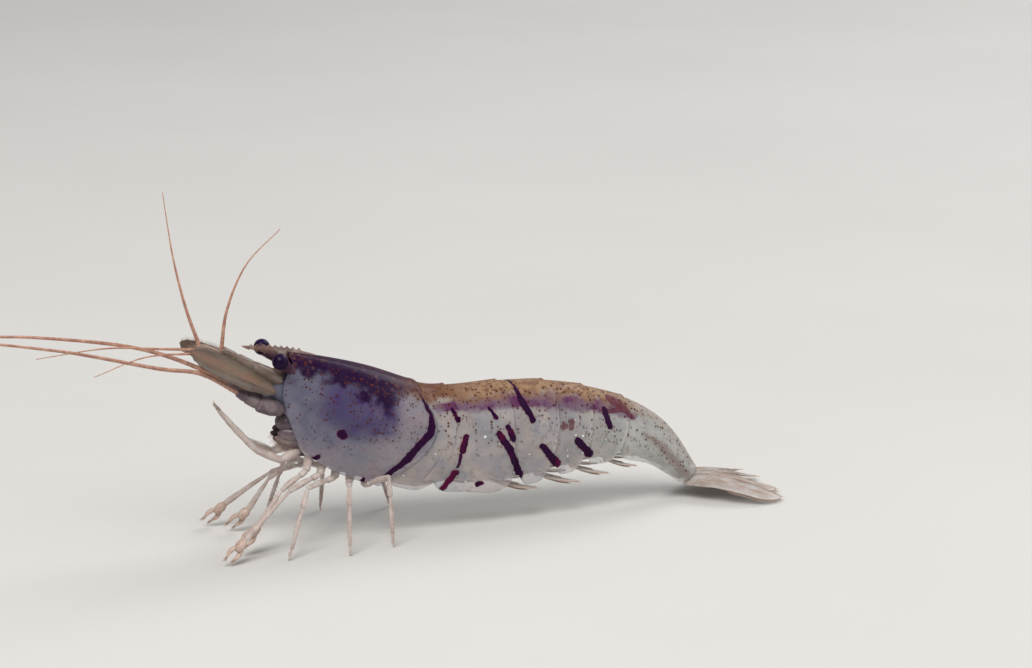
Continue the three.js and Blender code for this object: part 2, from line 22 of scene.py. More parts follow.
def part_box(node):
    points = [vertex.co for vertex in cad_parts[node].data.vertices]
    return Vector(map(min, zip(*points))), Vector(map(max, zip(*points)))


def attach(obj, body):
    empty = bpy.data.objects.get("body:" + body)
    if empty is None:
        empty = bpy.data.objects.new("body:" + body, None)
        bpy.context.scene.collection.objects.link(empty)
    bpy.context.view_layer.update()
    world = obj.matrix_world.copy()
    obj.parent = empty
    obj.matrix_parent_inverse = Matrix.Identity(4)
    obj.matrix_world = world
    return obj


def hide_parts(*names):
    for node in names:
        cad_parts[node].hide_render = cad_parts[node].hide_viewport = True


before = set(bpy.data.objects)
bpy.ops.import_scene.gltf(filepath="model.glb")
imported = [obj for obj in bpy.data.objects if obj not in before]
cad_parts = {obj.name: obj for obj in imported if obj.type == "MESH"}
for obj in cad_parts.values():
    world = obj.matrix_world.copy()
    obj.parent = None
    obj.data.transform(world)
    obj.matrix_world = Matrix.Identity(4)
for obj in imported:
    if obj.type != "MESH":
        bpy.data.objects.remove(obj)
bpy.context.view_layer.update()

MM = 0.001
UPRIGHT = Vector((0.0, 0.0, 1.0))
CROSSWISE = Vector((0.0, 1.0, 0.0))
GAP = 0.06  # clear space between neighbouring solids of the frame

Place = tuple[float, float, float]
Colour = tuple[float, float, float, float]
Rows = Sequence[tuple[float, float]]  # shares in rising order, each with its value
Profile = Callable[[float], float]
Spot = tuple[Vector, Vector]  # a point and its lie
Placer = Callable[[float, float], Spot]
Socket = bpy.types.NodeSocket
Group = bpy.types.NodeTree
VECTOR = "NodeSocketVector"
NUMBER = "NodeSocketFloat"
log = logging.getLogger("shrimp")


# ---- Small helpers ----


def paint(red: int, green: int, blue: int) -> Colour:
    """Turns a display colour into the linear colour that a shader socket takes.

    Args:
        red: red, 0 to 255.
        green: green, 0 to 255.
        blue: blue, 0 to 255.

    Returns:
        Linear red, green, blue and an alpha of 1.
    """
    def linear(value: int) -> float:
        """One channel, linear."""
        share = value / 255
        return share / 12.92 if share <= 0.04045 else ((share + 0.055) / 1.055) ** 2.4

    return (linear(red), linear(green), linear(blue), 1.0)


def mix(a: float, b: float, share: float) -> float:
    """The value that lies a share of the way from a to b."""
    return a + (b - a) * share


def clamp(value: float, low: float = 0.0, high: float = 1.0) -> float:
    """The value, kept between low and high."""
    return max(low, min(high, value))


def ease(low: float, high: float, value: float) -> float:
    """0 below low, 1 above high, and smooth between them."""
    share = clamp((value - low) / (high - low))
    return share * share * (3 - 2 * share)


def through(rows: Rows) -> Profile:
    """A profile that eases from row to row.

    Args:
        rows: the values, by share.

    Returns:
        A function of the share.
    """
    def value(share: float) -> float:
        """The profile's value at a share."""
        (s0, v0), (s1, v1) = next((pair for pair in zip(rows, rows[1:]) if share <= pair[1][0]), rows[-2:])
        return mix(v0, v1, ease(s0, s1, share))

    return value


def taper(start: float, end: float) -> Profile:
    """A profile that eases from start to end."""
    return through(((0.0, start), (1.0, end)))


def stand(name: str, data: Any) -> bpy.types.Object:
    """Puts a mesh, a light or a camera in the scene.

    Args:
        name: the object's name.
        data: its mesh, light or camera.

    Returns:
        The object, at the origin.
    """
    thing = bpy.data.objects.new(name, data)
    bpy.context.scene.collection.objects.link(thing)
    return thing


class Side(Enum):
    """The side of the body that a paired piece stands on."""

    LEFT = -1
    RIGHT = 1

    @property
    def label(self) -> str:
        """The side's word in the names of nodes and pieces."""
        return self.name.lower()


class Slot(Enum):
    """The part's material slots."""

    HEAD_SHELL = "head_shell"
    SHELL = "shell"
    EYE = "eye"
    EYESTALK = "eyestalk"
    MOUTHPARTS = "mouthparts"
    LEG = "leg"
    CLAW = "claw"
    SWIMMERET = "swimmeret"
    FEELER_STEM = "feeler_stem"
    FEELER = "feeler"
    ANTENNAL_SCALE = "antennal_scale"
    TAIL_FAN = "tail_fan"


@dataclass
class Sweep:
    """A smooth curve through points, walked at even speed.

    Attributes:
        points: the points that it passes through.
        samples: how finely its length is measured.
    """

    points: Sequence[Vector]
    samples: int = 240
    walked: list[tuple[float, Vector]] = field(default_factory=list)

    def __post_init__(self) -> None:
        """Measures the curve."""
        total = 0.0
        before = self._raw(0.0)
        self.walked.append((0.0, before))
        for i in range(1, self.samples + 1):
            here = self._raw(i / self.samples)
            total += (here - before).length
            self.walked.append((total, here))
            before = here

    def _raw(self, t: float) -> Vector:
        """The point at the curve's own parameter t.

        Args:
            t: from 0 at the first point to 1 at the last.

        Returns:
            The point.
        """
        count = len(self.points) - 1
        place = clamp(t) * count
        i = min(int(place), count - 1)
        k = place - i
        p1, p2 = self.points[i], self.points[i + 1]
        p0 = self.points[i - 1] if i > 0 else 2 * p1 - p2
        p3 = self.points[i + 2] if i + 2 <= count else 2 * p2 - p1
        d0, d1, d2 = (max((b - a).length ** 0.5, 1e-6) for a, b in ((p0, p1), (p1, p2), (p2, p3)))
        m1 = d1 * ((p1 - p0) / d0 - (p2 - p0) / (d0 + d1) + (p2 - p1) / d1)
        m2 = d1 * ((p2 - p1) / d1 - (p3 - p1) / (d1 + d2) + (p3 - p2) / d2)
        return p1 + k * (m1 + k * (3 * (p2 - p1) - 2 * m1 - m2 + k * (m1 + m2 - 2 * (p2 - p1))))

    @property
    def length(self) -> float:
        """The curve's whole length."""
        return self.walked[-1][0]

    def at(self, share: float) -> Vector:
        """The point at a share of the curve's length.

        Args:
            share: from 0 to 1.

        Returns:
            The point.
        """
        target = clamp(share) * self.length
        i = bisect_left(self.walked, target, 1, len(self.walked) - 1, key=lambda row: row[0])
        (l0, a), (l1, b) = self.walked[i - 1], self.walked[i]
        return a.lerp(b, (target - l0) / max(l1 - l0, 1e-9))


# ---- The trunk ----


@dataclass(frozen=True)
class Station:
    """The trunk's section at one distance along the spine.

    Attributes:
        at: distance along the spine from the orbit.
        pitch: how steeply the spine falls, in degrees.
        up: height from the spine to the back.
        down: depth from the spine to the lower edge.
        wide: half width.
    """

    at: float
    pitch: float
    up: float
    down: float
    wide: float


@dataclass(frozen=True)
class Trunk:
    """The surface that every shell plate lies on, swept along the bent spine.

    Attributes:
        orbit: the spine's start, between the eyes.
        stations: the sections along it.
        step: spacing of the points that the spine is summed from.
        edge: the lower edge's place round a section, from 0 on the back to 1 at the belly.
        tuck: distance between the lower edges, as a share of the width.
        arch: height of the hollow between them, as a share of the depth.
        shoulder: how full the back is; less than 1 is fuller than an ellipse.
        fall: how late the sides draw in towards the lower edges.
        spine: the spine's summed points.
    """

    orbit: Place = (-12.3, 0.0, 7.62)
    stations: tuple[Station, ...] = (
        Station(0.0, 17, 1.98, 2.2, 0.92),
        Station(1.8, 18, 2.12, 2.75, 1.42),
        Station(4.2, 20, 2.2, 3.1, 1.78),
        Station(6.7, 17, 2.05, 3.05, 1.72),
        Station(8.6, 5, 2.0, 3.05, 1.64),
        Station(11.6, 2, 2.08, 3.25, 1.66),
        Station(14.7, 9, 2.05, 2.6, 1.48),
        Station(17.1, 14, 1.85, 1.8, 1.24),
        Station(19.3, 25, 1.55, 1.22, 1.02),
        Station(21.2, 44, 1.18, 0.8, 0.84),
        Station(23.1, 46, 0.76, 0.5, 0.68),
    )
    step: float = 0.05
    edge: float = 0.8
    tuck: float = 0.8
    arch: float = 0.2
    shoulder: float = 0.9
    fall: float = 2.2
    spine: list[Vector] = field(default_factory=list)

    def __post_init__(self) -> None:
        """Sums the spine's points."""
        self.spine.append(Vector(self.orbit))
        at = self.step / 2
        while at < self.stations[-1].at:
            self.spine.append(self.spine[-1] + self.ways(at)[0] * self.step)
            at += self.step

    def value(self, key: str, at: float) -> float:
        """One of the stations' values, smooth along the spine.

        Args:
            key: the name of the value.
            at: distance along the spine.

        Returns:
            The value there.
        """
        rows = self.stations
        last = len(rows) - 1
        i = 0
        while i < last - 1 and at > rows[i + 1].at:
            i += 1

        def slope(k: int) -> float:
            """The value's slope at station k."""
            a, b = rows[max(k - 1, 0)], rows[min(k + 1, last)]
            return (getattr(b, key) - getattr(a, key)) / (b.at - a.at)

        span = rows[i + 1].at - rows[i].at
        t = clamp((at - rows[i].at) / span)
        start, rise = getattr(rows[i], key), getattr(rows[i + 1], key) - getattr(rows[i], key)
        m0, m1 = slope(i) * span, slope(i + 1) * span
        return start + t * (m0 + t * (3 * rise - 2 * m0 - m1 + t * (m0 + m1 - 2 * rise)))

    def ways(self, at: float) -> tuple[Vector, Vector]:
        """The way along the spine and the way up from it.

        Args:
            at: distance along the spine.

        Returns:
            Both ways, of length 1.
        """
        pitch = math.radians(self.value("pitch", max(at, 0.0)))
        along = Vector((math.cos(pitch), 0.0, -math.sin(pitch)))
        return along, Vector((math.sin(pitch), 0.0, math.cos(pitch)))

    def point(self, at: float, height: float, y: float) -> Vector:
        """The point beside the spine; ahead of the orbit the spine runs straight on.

        Args:
            at: distance along the spine.
            height: height over it.
            y: distance from the middle, towards the right side.

        Returns:
            The point.
        """
        along, rise = self.ways(at)
        place = max(at, 0.0) / self.step
        i = min(int(place), len(self.spine) - 2)
        on = self.spine[i].lerp(self.spine[i + 1], place - i) + along * min(at, 0.0) + rise * height
        on.y = y
        return on

    def outline(self, at: float, turn: float, grow: float = 0.0) -> tuple[float, float]:
        """A place on the section, as height over the spine and distance from the middle.

        Args:
            at: distance along the spine.
            turn: from 0 on the back to 1 at the middle of the belly.
            grow: how far outside the surface it lies.

        Returns:
            Height and distance from the middle.
        """
        up = self.value("up", at) + grow
        down = self.value("down", at) + grow
        wide = self.value("wide", at) + grow
        t = turn / self.edge
        if t > 1:
            k = (turn - self.edge) / (1 - self.edge)
            return self.arch * (up + down) * math.sin(k * math.pi / 2) - down, wide * self.tuck * (1 - k)
        if t < 0.5:
            return up * math.cos(t * math.pi), wide * math.sin(t * math.pi) ** self.shoulder
        k = 2 * t - 1
        return -down * k, wide * (1 - (1 - self.tuck) * k ** self.fall)


@dataclass(frozen=True)
class PlateEdge:
    """Where a trunk plate ends.

    Attributes:
        end: the hind edge's place on the back.
        bulge: how much further back it reaches at mid height.
        hollow: how late on the way down that bulge begins.
        sway: how far back the lower edge is moved.
        notch: the opening between two lobes at the lower edge.
    """

    SWELL = 1.2  # how late the bulge ends
    NOTCH_FROM = 0.6  # where a notch starts, as a share of the way down

    end: float
    bulge: float
    hollow: float
    sway: float
    notch: float

    def hind(self, turn: float, edge: float) -> float:
        """Where the hind edge crosses the trunk.

        Args:
            turn: the turn round the section.
            edge: the turn of the lower edge.

        Returns:
            The distance along the spine.
        """
        t = min(turn / edge, 1.0)
        power = self.hollow if t < 0.5 else self.SWELL
        return self.end + self.bulge * math.sin(math.pi * t) ** power + self.sway * t ** 3

    def cut(self, turn: float, edge: float) -> float:
        """Half of the notch between two lobes, which opens towards the lower edge."""
        opened = max(0.0, (min(turn / edge, 1.0) - self.NOTCH_FROM) / (1 - self.NOTCH_FROM))
        return 0.5 * self.notch * opened ** 2


CARAPACE_EDGE = PlateEdge(6.7, 1.29, 3.5, -0.7, 0.1)
SOMITE_EDGES = (
    PlateEdge(8.75, 0.3, 1.5, -0.75, 0.3),
    PlateEdge(11.6, 0.35, 1.5, 0.75, 0.7),
    PlateEdge(13.9, 0.5, 1.5, 0.55, 0.8),
    PlateEdge(15.9, 0.4, 1.5, 0.45, 0.7),
    PlateEdge(18.0, 0.35, 1.5, 0.25, 0.5),
    PlateEdge(23.1, 0.0, 1.5, 0.0, 0.0),
)


# ---- Mesh making ----


class Shape:
    """A mesh under way, whose points carry where they lie on the animal.

    The attribute "lie" holds three numbers for the finishes: on the trunk the distance along the spine, the
    height over it and the turn round it, and elsewhere the length, the turn and the share of the length.
    """

    MERGE = 1e-6  # points of a seam closer than this become one
    CROWDING = 0.7  # how far a limb's rings are drawn towards its ends
    BLUNT = 0.03  # least width of a limb's end, as a share

    def __init__(self) -> None:
        """Starts an empty mesh."""
        self.bm = bmesh.new()
        self.lie = self.bm.verts.layers.float_vector.new("lie")

    @staticmethod
    def _faces(made: Sequence[bmesh.types.BMVert]) -> list[bmesh.types.BMFace]:
        """The faces round some points."""
        return list({face for vert in made for face in vert.link_faces})

    def sheet(self, columns: int, rows: int, place: Placer) -> None:
        """Adds one open sheet of quads, mapped from a flat grid, that faces away from the body's middle.

        Args:
            columns: quads along u.
            rows: quads along v.
            place: puts u and v, both 0 to 1, on the surface, with the lie there.
        """
        made = bmesh.ops.create_grid(self.bm, x_segments=columns, y_segments=rows, size=0.5)["verts"]
        for vert in made:
            vert.co, vert[self.lie] = place(clamp(vert.co.x + 0.5), clamp(vert.co.y + 0.5))
        faces = self._faces(made)
        for face in faces:
            face.normal_update()
        if sum(face.normal.y * face.calc_center_median().y for face in faces) < 0:
            bmesh.ops.reverse_faces(self.bm, faces=faces)

    def tube(self, sides: int, rings: int, place: Placer) -> None:
        """Adds one closed tube, rolled from a flat grid, joined along its seam and filled at its ends.

        Args:
            sides: quads round it.
            rings: quads along it.
            place: puts a turn of -1 to 1 and a share of the length on the surface, with the lie there.
        """
        made = bmesh.ops.create_grid(self.bm, x_segments=sides, y_segments=rings, size=0.5)["verts"]
        seam = [vert for vert in made if abs(vert.co.x) > 0.5 - self.MERGE]
        for vert in made:
            vert.co, vert[self.lie] = place(clamp(vert.co.x + 0.5) * 2 - 1, clamp(vert.co.y + 0.5))
        bmesh.ops.remove_doubles(self.bm, verts=seam, dist=self.MERGE)
        rims = {edge for vert in made if vert.is_valid for edge in vert.link_edges if edge.is_boundary}
        bmesh.ops.edgeloop_fill(self.bm, edges=list(rims))

    def rod(self, path: Callable[[float], Vector], width: Profile, thick: Profile, across: Vector,
            rings: int, sides: int = 12, ends: tuple[float, float] = (0.06, 0.06)) -> None:
        """Adds one closed limb along a path, with rounded ends.

        Args:
            path: the middle line, from 0 to 1.
            width: half width along across, at a share of the length.
            thick: half thickness, at a share of the length.
            across: the way in which it is wide.
            rings: quads along it.
            sides: quads round it.
            ends: share of the length over which each end is rounded.
        """
        small = 1e-3
        places: list[tuple[Vector, Vector, Vector, float, float]] = []
        walked = 0.0
        before = path(0.0)
        for ring in range(rings + 1):
            even = ring / rings
            share = mix(even, 0.5 - 0.5 * math.cos(math.pi * even), self.CROWDING)
            here = path(share)
            walked += (here - before).length
            before = here
            heading = (path(min(share + small, 1.0)) - path(max(share - small, 0.0))).normalized()
            wide = (across - heading * across.dot(heading)).normalized()
            over = heading.cross(wide)
            close = 1.0
            for reach, left in ((ends[0], share), (ends[1], 1 - share)):
                if reach > 0 and left < reach:
                    close *= math.sqrt(max(1 - (1 - left / reach) ** 2, 0.0))
            close = max(close, self.BLUNT)
            places.append((here, wide * width(share) * close, over * thick(share) * close, walked, share))

        def place(turn: float, even: float) -> Spot:
            """A point of the limb.

            Args:
                turn: from -1 to 1, round it.
                even: from 0 to 1, by its rings.

            Returns:
                The point and its lie.
            """
            centre, wide, over, length, share = places[round(even * rings)]
            angle = turn * math.pi
            return centre + wide * math.sin(angle) + over * math.cos(angle), Vector((length, turn, share))

        self.tube(sides, rings, place)

    def ball(self, centre: Vector, radii: Place, axes: Matrix, fine: int) -> None:
        """Adds a closed ball or egg.

        Args:
            centre: its middle.
            radii: its three half lengths.
            axes: the rotation that turns it into place.
            fine: quads round it.
        """
        matrix = Matrix.Translation(centre) @ axes.to_4x4() @ Matrix.Diagonal(Vector((*radii, 1.0)))
        made = bmesh.ops.create_uvsphere(
            self.bm, u_segments=fine, v_segments=max(fine * 2 // 3, 6), radius=1.0, matrix=matrix)["verts"]
        for vert in made:
            vert[self.lie] = (vert.co - centre).normalized()

    def bristle(self, root: Vector, tip: Vector, radius: float, material: int = 1) -> None:
        """Adds one stiff hair or small spine.

        Args:
            root: where it stands.
            tip: where it ends.
            radius: its radius at the root.
            material: index of its finish.
        """
        way = tip - root
        matrix = Matrix.Translation((root + tip) / 2) @ way.to_track_quat("Z", "Y").to_matrix().to_4x4()
        made = bmesh.ops.create_cone(
            self.bm, cap_ends=True, segments=4, radius1=radius, radius2=0.2 * radius,
            depth=max(way.length, 1e-3), matrix=matrix)["verts"]
        for vert in made:
            vert[self.lie] = Vector(((vert.co - root).length, 0.0, (vert.co - root).length / way.length))
        for face in self._faces(made):
            face.material_index = material


# ---- Shader nodes ----


@dataclass
class NodeBench:
    """Places and joins the nodes of one tree.

    A Mix node takes colours at its inputs 6 and 7, for output 2, and numbers at 2 and 3, for output 0.

    Attributes:
        tree: the material's or the group's tree.
    """

    tree: Group

    def add(self, kind: str, inputs: Mapping[str | int, Any] | Sequence[Any] = (),
            **settings: Any) -> bpy.types.Node:
        """Adds a node.

        Args:
            kind: the node's type.
            inputs: sockets to join or numbers to set, by name or in order; None leaves one alone.
            **settings: the node's own properties.

        Returns:
            The node.
        """
        node = self.tree.nodes.new(kind)
        for key, value in settings.items():
            setattr(node, key, value)
        for key, value in inputs.items() if isinstance(inputs, Mapping) else enumerate(inputs):
            if isinstance(value, Socket):
                self.tree.links.new(value, node.inputs[key])
            elif value is not None:
                node.inputs[key].default_value = value
        return node

    def math(self, operation: str, *values: Any, clamped: bool = False) -> Socket:
        """The result of a sum on one to three numbers."""
        return self.add("ShaderNodeMath", values, operation=operation, use_clamp=clamped).outputs[0]

    def times(self, *values: Any) -> Socket:
        """The product of several numbers."""
        return reduce(lambda a, b: self.math("MULTIPLY", a, b), values)

    def most(self, *values: Any) -> Socket:
        """The largest of several numbers."""
        return reduce(lambda a, b: self.math("MAXIMUM", a, b), values)

    def vector(self, operation: str, a: Any, b: Any = None, scale: Any = None) -> bpy.types.Node:
        """A sum on one or two vectors, or a vector and a number."""
        return self.add("ShaderNodeVectorMath", {0: a, 1: b, "Scale": scale}, operation=operation)

    def blend(self, share: Any, a: Any, b: Any) -> Socket:
        """A colour between two colours."""
        return self.add("ShaderNodeMix", {0: share, 6: a, 7: b}, data_type="RGBA").outputs[2]

    def fade(self, share: Any, a: Any, b: Any) -> Socket:
        """A number between two numbers."""
        return self.add("ShaderNodeMix", {0: share, 2: a, 3: b}, data_type="FLOAT").outputs[0]

    def ramp(self, value: Any, low: Any, high: Any, start: Any = 0.0, end: Any = 1.0) -> Socket:
        """A number eased from start to end while value runs from low to high."""
        inputs = (value, low, high, start, end)
        return self.add("ShaderNodeMapRange", inputs, interpolation_type="SMOOTHSTEP").outputs[0]

    def parts(self, vector: Any) -> tuple[Socket, Socket, Socket]:
        """A vector's three numbers."""
        outputs = self.add("ShaderNodeSeparateXYZ", (vector,)).outputs
        return outputs[0], outputs[1], outputs[2]

    def effect(self, group: Group, **inputs: Any) -> Socket:
        """The result of a shared effect, given its inputs."""
        return self.add("ShaderNodeGroup", inputs, node_tree=group).outputs[0]


@dataclass(frozen=True)
class Pattern:
    """Several marks that are drawn together.

    Attributes:
        name: its group's name.
        lines: the marks, each a run of points: distance along the spine, height over it and half width.
        soft: how far their edges fade, as a share of the half width.
    """

    name: str
    lines: tuple[tuple[Place, ...], ...]
    soft: float = 0.23


HEAD_MARKS = Pattern("head_marks", (
    ((6.85, 1.5, 0.04), (7.45, 0.85, 0.13), (7.62, 0.31, 0.2), (7.58, -0.02, 0.22), (7.22, -0.61, 0.2)),
    ((7.22, -0.61, 0.19), (6.8, -1.45, 0.18), (6.1, -2.5, 0.12)),
    ((3.2, -1.12, 0.25), (3.3, -1.16, 0.22)),
    ((2.15, -2.83, 0.1), (2.5, -2.53, 0.13)),
    ((5.05, -3.1, 0.11), (5.1, -2.95, 0.08)),
))
TAIL_MARKS = Pattern("tail_marks", (
    ((8.75, 1.11, 0.09), (9.05, 0.62, 0.15)),
    ((10.7, 1.14, 0.06), (11.05, 0.64, 0.11)),
    ((9.5, -0.23, 0.14), (9.35, -0.93, 0.18)),
    ((9.25, -1.16, 0.09), (9.15, -1.78, 0.07)),
    ((9.05, -2.08, 0.19), (8.55, -2.9, 0.13)),
    ((10.25, -2.74, 0.15), (10.42, -2.7, 0.12)),
    ((11.65, 0.16, 0.13), (12.0, -0.48, 0.17)),
    ((11.2, -0.16, 0.17), (11.8, -0.97, 0.19), (12.55, -2.5, 0.19)),
    ((12.2, 2.08, 0.06), (12.45, 1.35, 0.17)),
    ((12.45, 1.35, 0.18), (13.0, 0.41, 0.15)),
    ((13.65, -0.93, 0.18), (14.75, -1.88, 0.22)),
    ((15.6, -0.58, 0.18), (16.55, -1.24, 0.22)),
    ((16.85, 1.1, 0.16), (17.3, 0.29, 0.15)),
))
BROWN_MARKS = Pattern("brown_marks", (
    ((14.72, 0.1, 0.2), (14.8, 0.12, 0.17)),
    ((15.12, 0.34, 0.19), (15.15, 0.05, 0.16)),
    ((17.1, 1.62, 0.16), (17.7, 1.35, 0.22)),
    ((17.7, 1.35, 0.2), (18.5, 0.9, 0.1)),
    ((16.9, 0.95, 0.12), (17.75, 1.2, 0.12)),
))
TAIL_STREAK = Pattern("tail_streak", (((19.3, 0.35, 0.12), (21.2, 0.1, 0.24), (22.9, 0.0, 0.3)),), soft=0.8)
GUT_BAND = Pattern("gut_band", ((
    (7.8, 1.15, 0.16), (9.4, 1.3, 0.3), (12.4, 1.38, 0.34), (14.6, 1.22, 0.36), (16.6, 1.25, 0.34),
    (18.6, 1.0, 0.16)),), soft=0.45)
HEAD_CLOUDS = Pattern("head_clouds", (
    ((3.5, -0.9, 0.34), (4.7, -0.45, 0.5), (5.4, -0.1, 0.36)),
    ((4.9, 0.95, 0.5), (5.25, 0.45, 0.42)),
), soft=0.9)


class Effects:
    """The effects that several finishes share, each built once as a node group with one result."""

    def __init__(self) -> None:
        """Starts with no pattern drawn."""
        self.drawn: dict[str, Group] = {}

    @staticmethod
    def _start(name: str, **inputs: str) -> tuple[NodeBench, Mapping[str, Socket]]:
        """Starts a group.

        Args:
            name: its name.
            **inputs: the types of its inputs.

        Returns:
            Its bench and its inputs.
        """
        bench = NodeBench(bpy.data.node_groups.new(name, "ShaderNodeTree"))
        for label, kind in inputs.items():
            bench.tree.interface.new_socket(label, in_out="INPUT", socket_type=kind)
        source = bench.add("NodeGroupInput")
        return bench, {label: source.outputs[label] for label in inputs}

    @staticmethod
    def _end(bench: NodeBench, result: Socket, kind: str = NUMBER) -> Group:
        """Gives a group its output.

        Args:
            bench: the material's bench.
            result: what it puts out.
            kind: the type of that.

        Returns:
            The group.
        """
        bench.tree.interface.new_socket("Result", in_out="OUTPUT", socket_type=kind)
        bench.add("NodeGroupOutput", (result,))
        return bench.tree

    @cached_property
    def stipple(self) -> Group:
        """The mask of small round colour cells, some of them empty."""
        bench, given = self._start("stipple", Place=VECTOR, Density=NUMBER, Size=NUMBER, Share=NUMBER)
        cells = bench.add("ShaderNodeTexVoronoi", {"Vector": given["Place"], "Scale": given["Density"]})
        shade = bench.parts(cells.outputs["Color"])
        size = bench.times(given["Size"], bench.ramp(shade[1], 0.0, 1.0, 0.55, 1.25))
        cell = bench.ramp(cells.outputs["Distance"], bench.times(size, 0.55), size, 1.0, 0.0)
        return self._end(bench, bench.times(cell, bench.math("LESS_THAN", shade[0], given["Share"])))

    @cached_property
    def mottle(self) -> Group:
        """Soft cloudy patches, from 0 to 1."""
        bench, given = self._start("mottle", Place=VECTOR, Density=NUMBER)
        inputs = {"Vector": given["Place"], "Scale": given["Density"], "Detail": 3.0}
        return self._end(bench, bench.ramp(bench.add("ShaderNodeTexNoise", inputs).outputs[0], 0.3, 0.7))

    @cached_property
    def ragged(self) -> Group:
        """The place, shifted by a little noise, so that marks on it get uneven edges."""
        bench, given = self._start("ragged", Place=VECTOR, Grain=VECTOR, Reach=NUMBER)
        noise = bench.add("ShaderNodeTexNoise", {"Vector": given["Grain"], "Scale": 3.2, "Detail": 4.0})
        centred = bench.vector("SUBTRACT", noise.outputs["Color"], (0.5, 0.5, 0.5)).outputs[0]
        shift = bench.vector("SCALE", centred, scale=given["Reach"]).outputs[0]
        return self._end(bench, bench.vector("ADD", given["Place"], shift).outputs[0], VECTOR)

    @cached_property
    def stroke(self) -> Group:
        """The mask of one tapered stroke on the flank's plane."""
        bench, given = self._start("stroke", Place=VECTOR, Start=VECTOR, End=VECTOR, Broad=NUMBER,
                                   Slim=NUMBER, Soft=NUMBER)
        reach = bench.vector("SUBTRACT", given["Place"], given["Start"]).outputs[0]
        line = bench.vector("SUBTRACT", given["End"], given["Start"]).outputs[0]
        along = bench.vector("DOT_PRODUCT", reach, line).outputs["Value"]
        length = bench.vector("DOT_PRODUCT", line, line).outputs["Value"]
        share = bench.math("DIVIDE", along, length, clamped=True)
        foot = bench.vector("SCALE", line, scale=share).outputs[0]
        away = bench.vector("DISTANCE", reach, foot).outputs["Value"]
        half = bench.fade(share, given["Broad"], given["Slim"])
        spread = bench.times(half, given["Soft"])
        inside, outside = bench.math("SUBTRACT", half, spread), bench.math("ADD", half, spread)
        return self._end(bench, bench.ramp(away, inside, outside, 1.0, 0.0))

    def strokes(self, pattern: Pattern) -> Group:
        """The mask of a whole pattern.

        Args:
            pattern: its marks.

        Returns:
            The group, which takes the lie.
        """
        if pattern.name not in self.drawn:
            bench, given = self._start(pattern.name, Lie=VECTOR)
            across, height, _ = bench.parts(given["Lie"])
            flat = bench.add("ShaderNodeCombineXYZ", (across, height, 0.0)).outputs[0]
            masks = [
                bench.effect(self.stroke, Place=flat, Start=(*start, 0.0), End=(*end, 0.0), Broad=broad,
                             Slim=slim, Soft=pattern.soft)
                for line in pattern.lines for (*start, broad), (*end, slim) in zip(line, line[1:])]
            self.drawn[pattern.name] = self._end(bench, bench.most(*masks))
        return self.drawn[pattern.name]

    @cached_property
    def rings(self) -> Group:
        """Evenly spaced rings along a limb, 1 at each ring."""
        bench, given = self._start("rings", Lie=VECTOR, Density=NUMBER)
        along, _, _ = bench.parts(given["Lie"])
        phase = bench.math("FRACT", bench.times(along, given["Density"]))
        away = bench.math("ABSOLUTE", bench.math("SUBTRACT", phase, 0.5))
        return self._end(bench, bench.ramp(away, 0.0, 0.22, 1.0, 0.0))


@dataclass(frozen=True)
class Gloss:
    """How a finish takes the light.

    Attributes:
        roughness: roughness of the surface.
        coat: weight of the wet film on it.
        flesh: share of light that goes in and spreads.
        depth: how far it spreads, in millimetres.
        ior: index of refraction, which sets how strongly it mirrors.
    """

    roughness: float = 0.35
    coat: float = 0.1
    flesh: float = 0.0
    depth: float = 0.4
    ior: float = 1.27


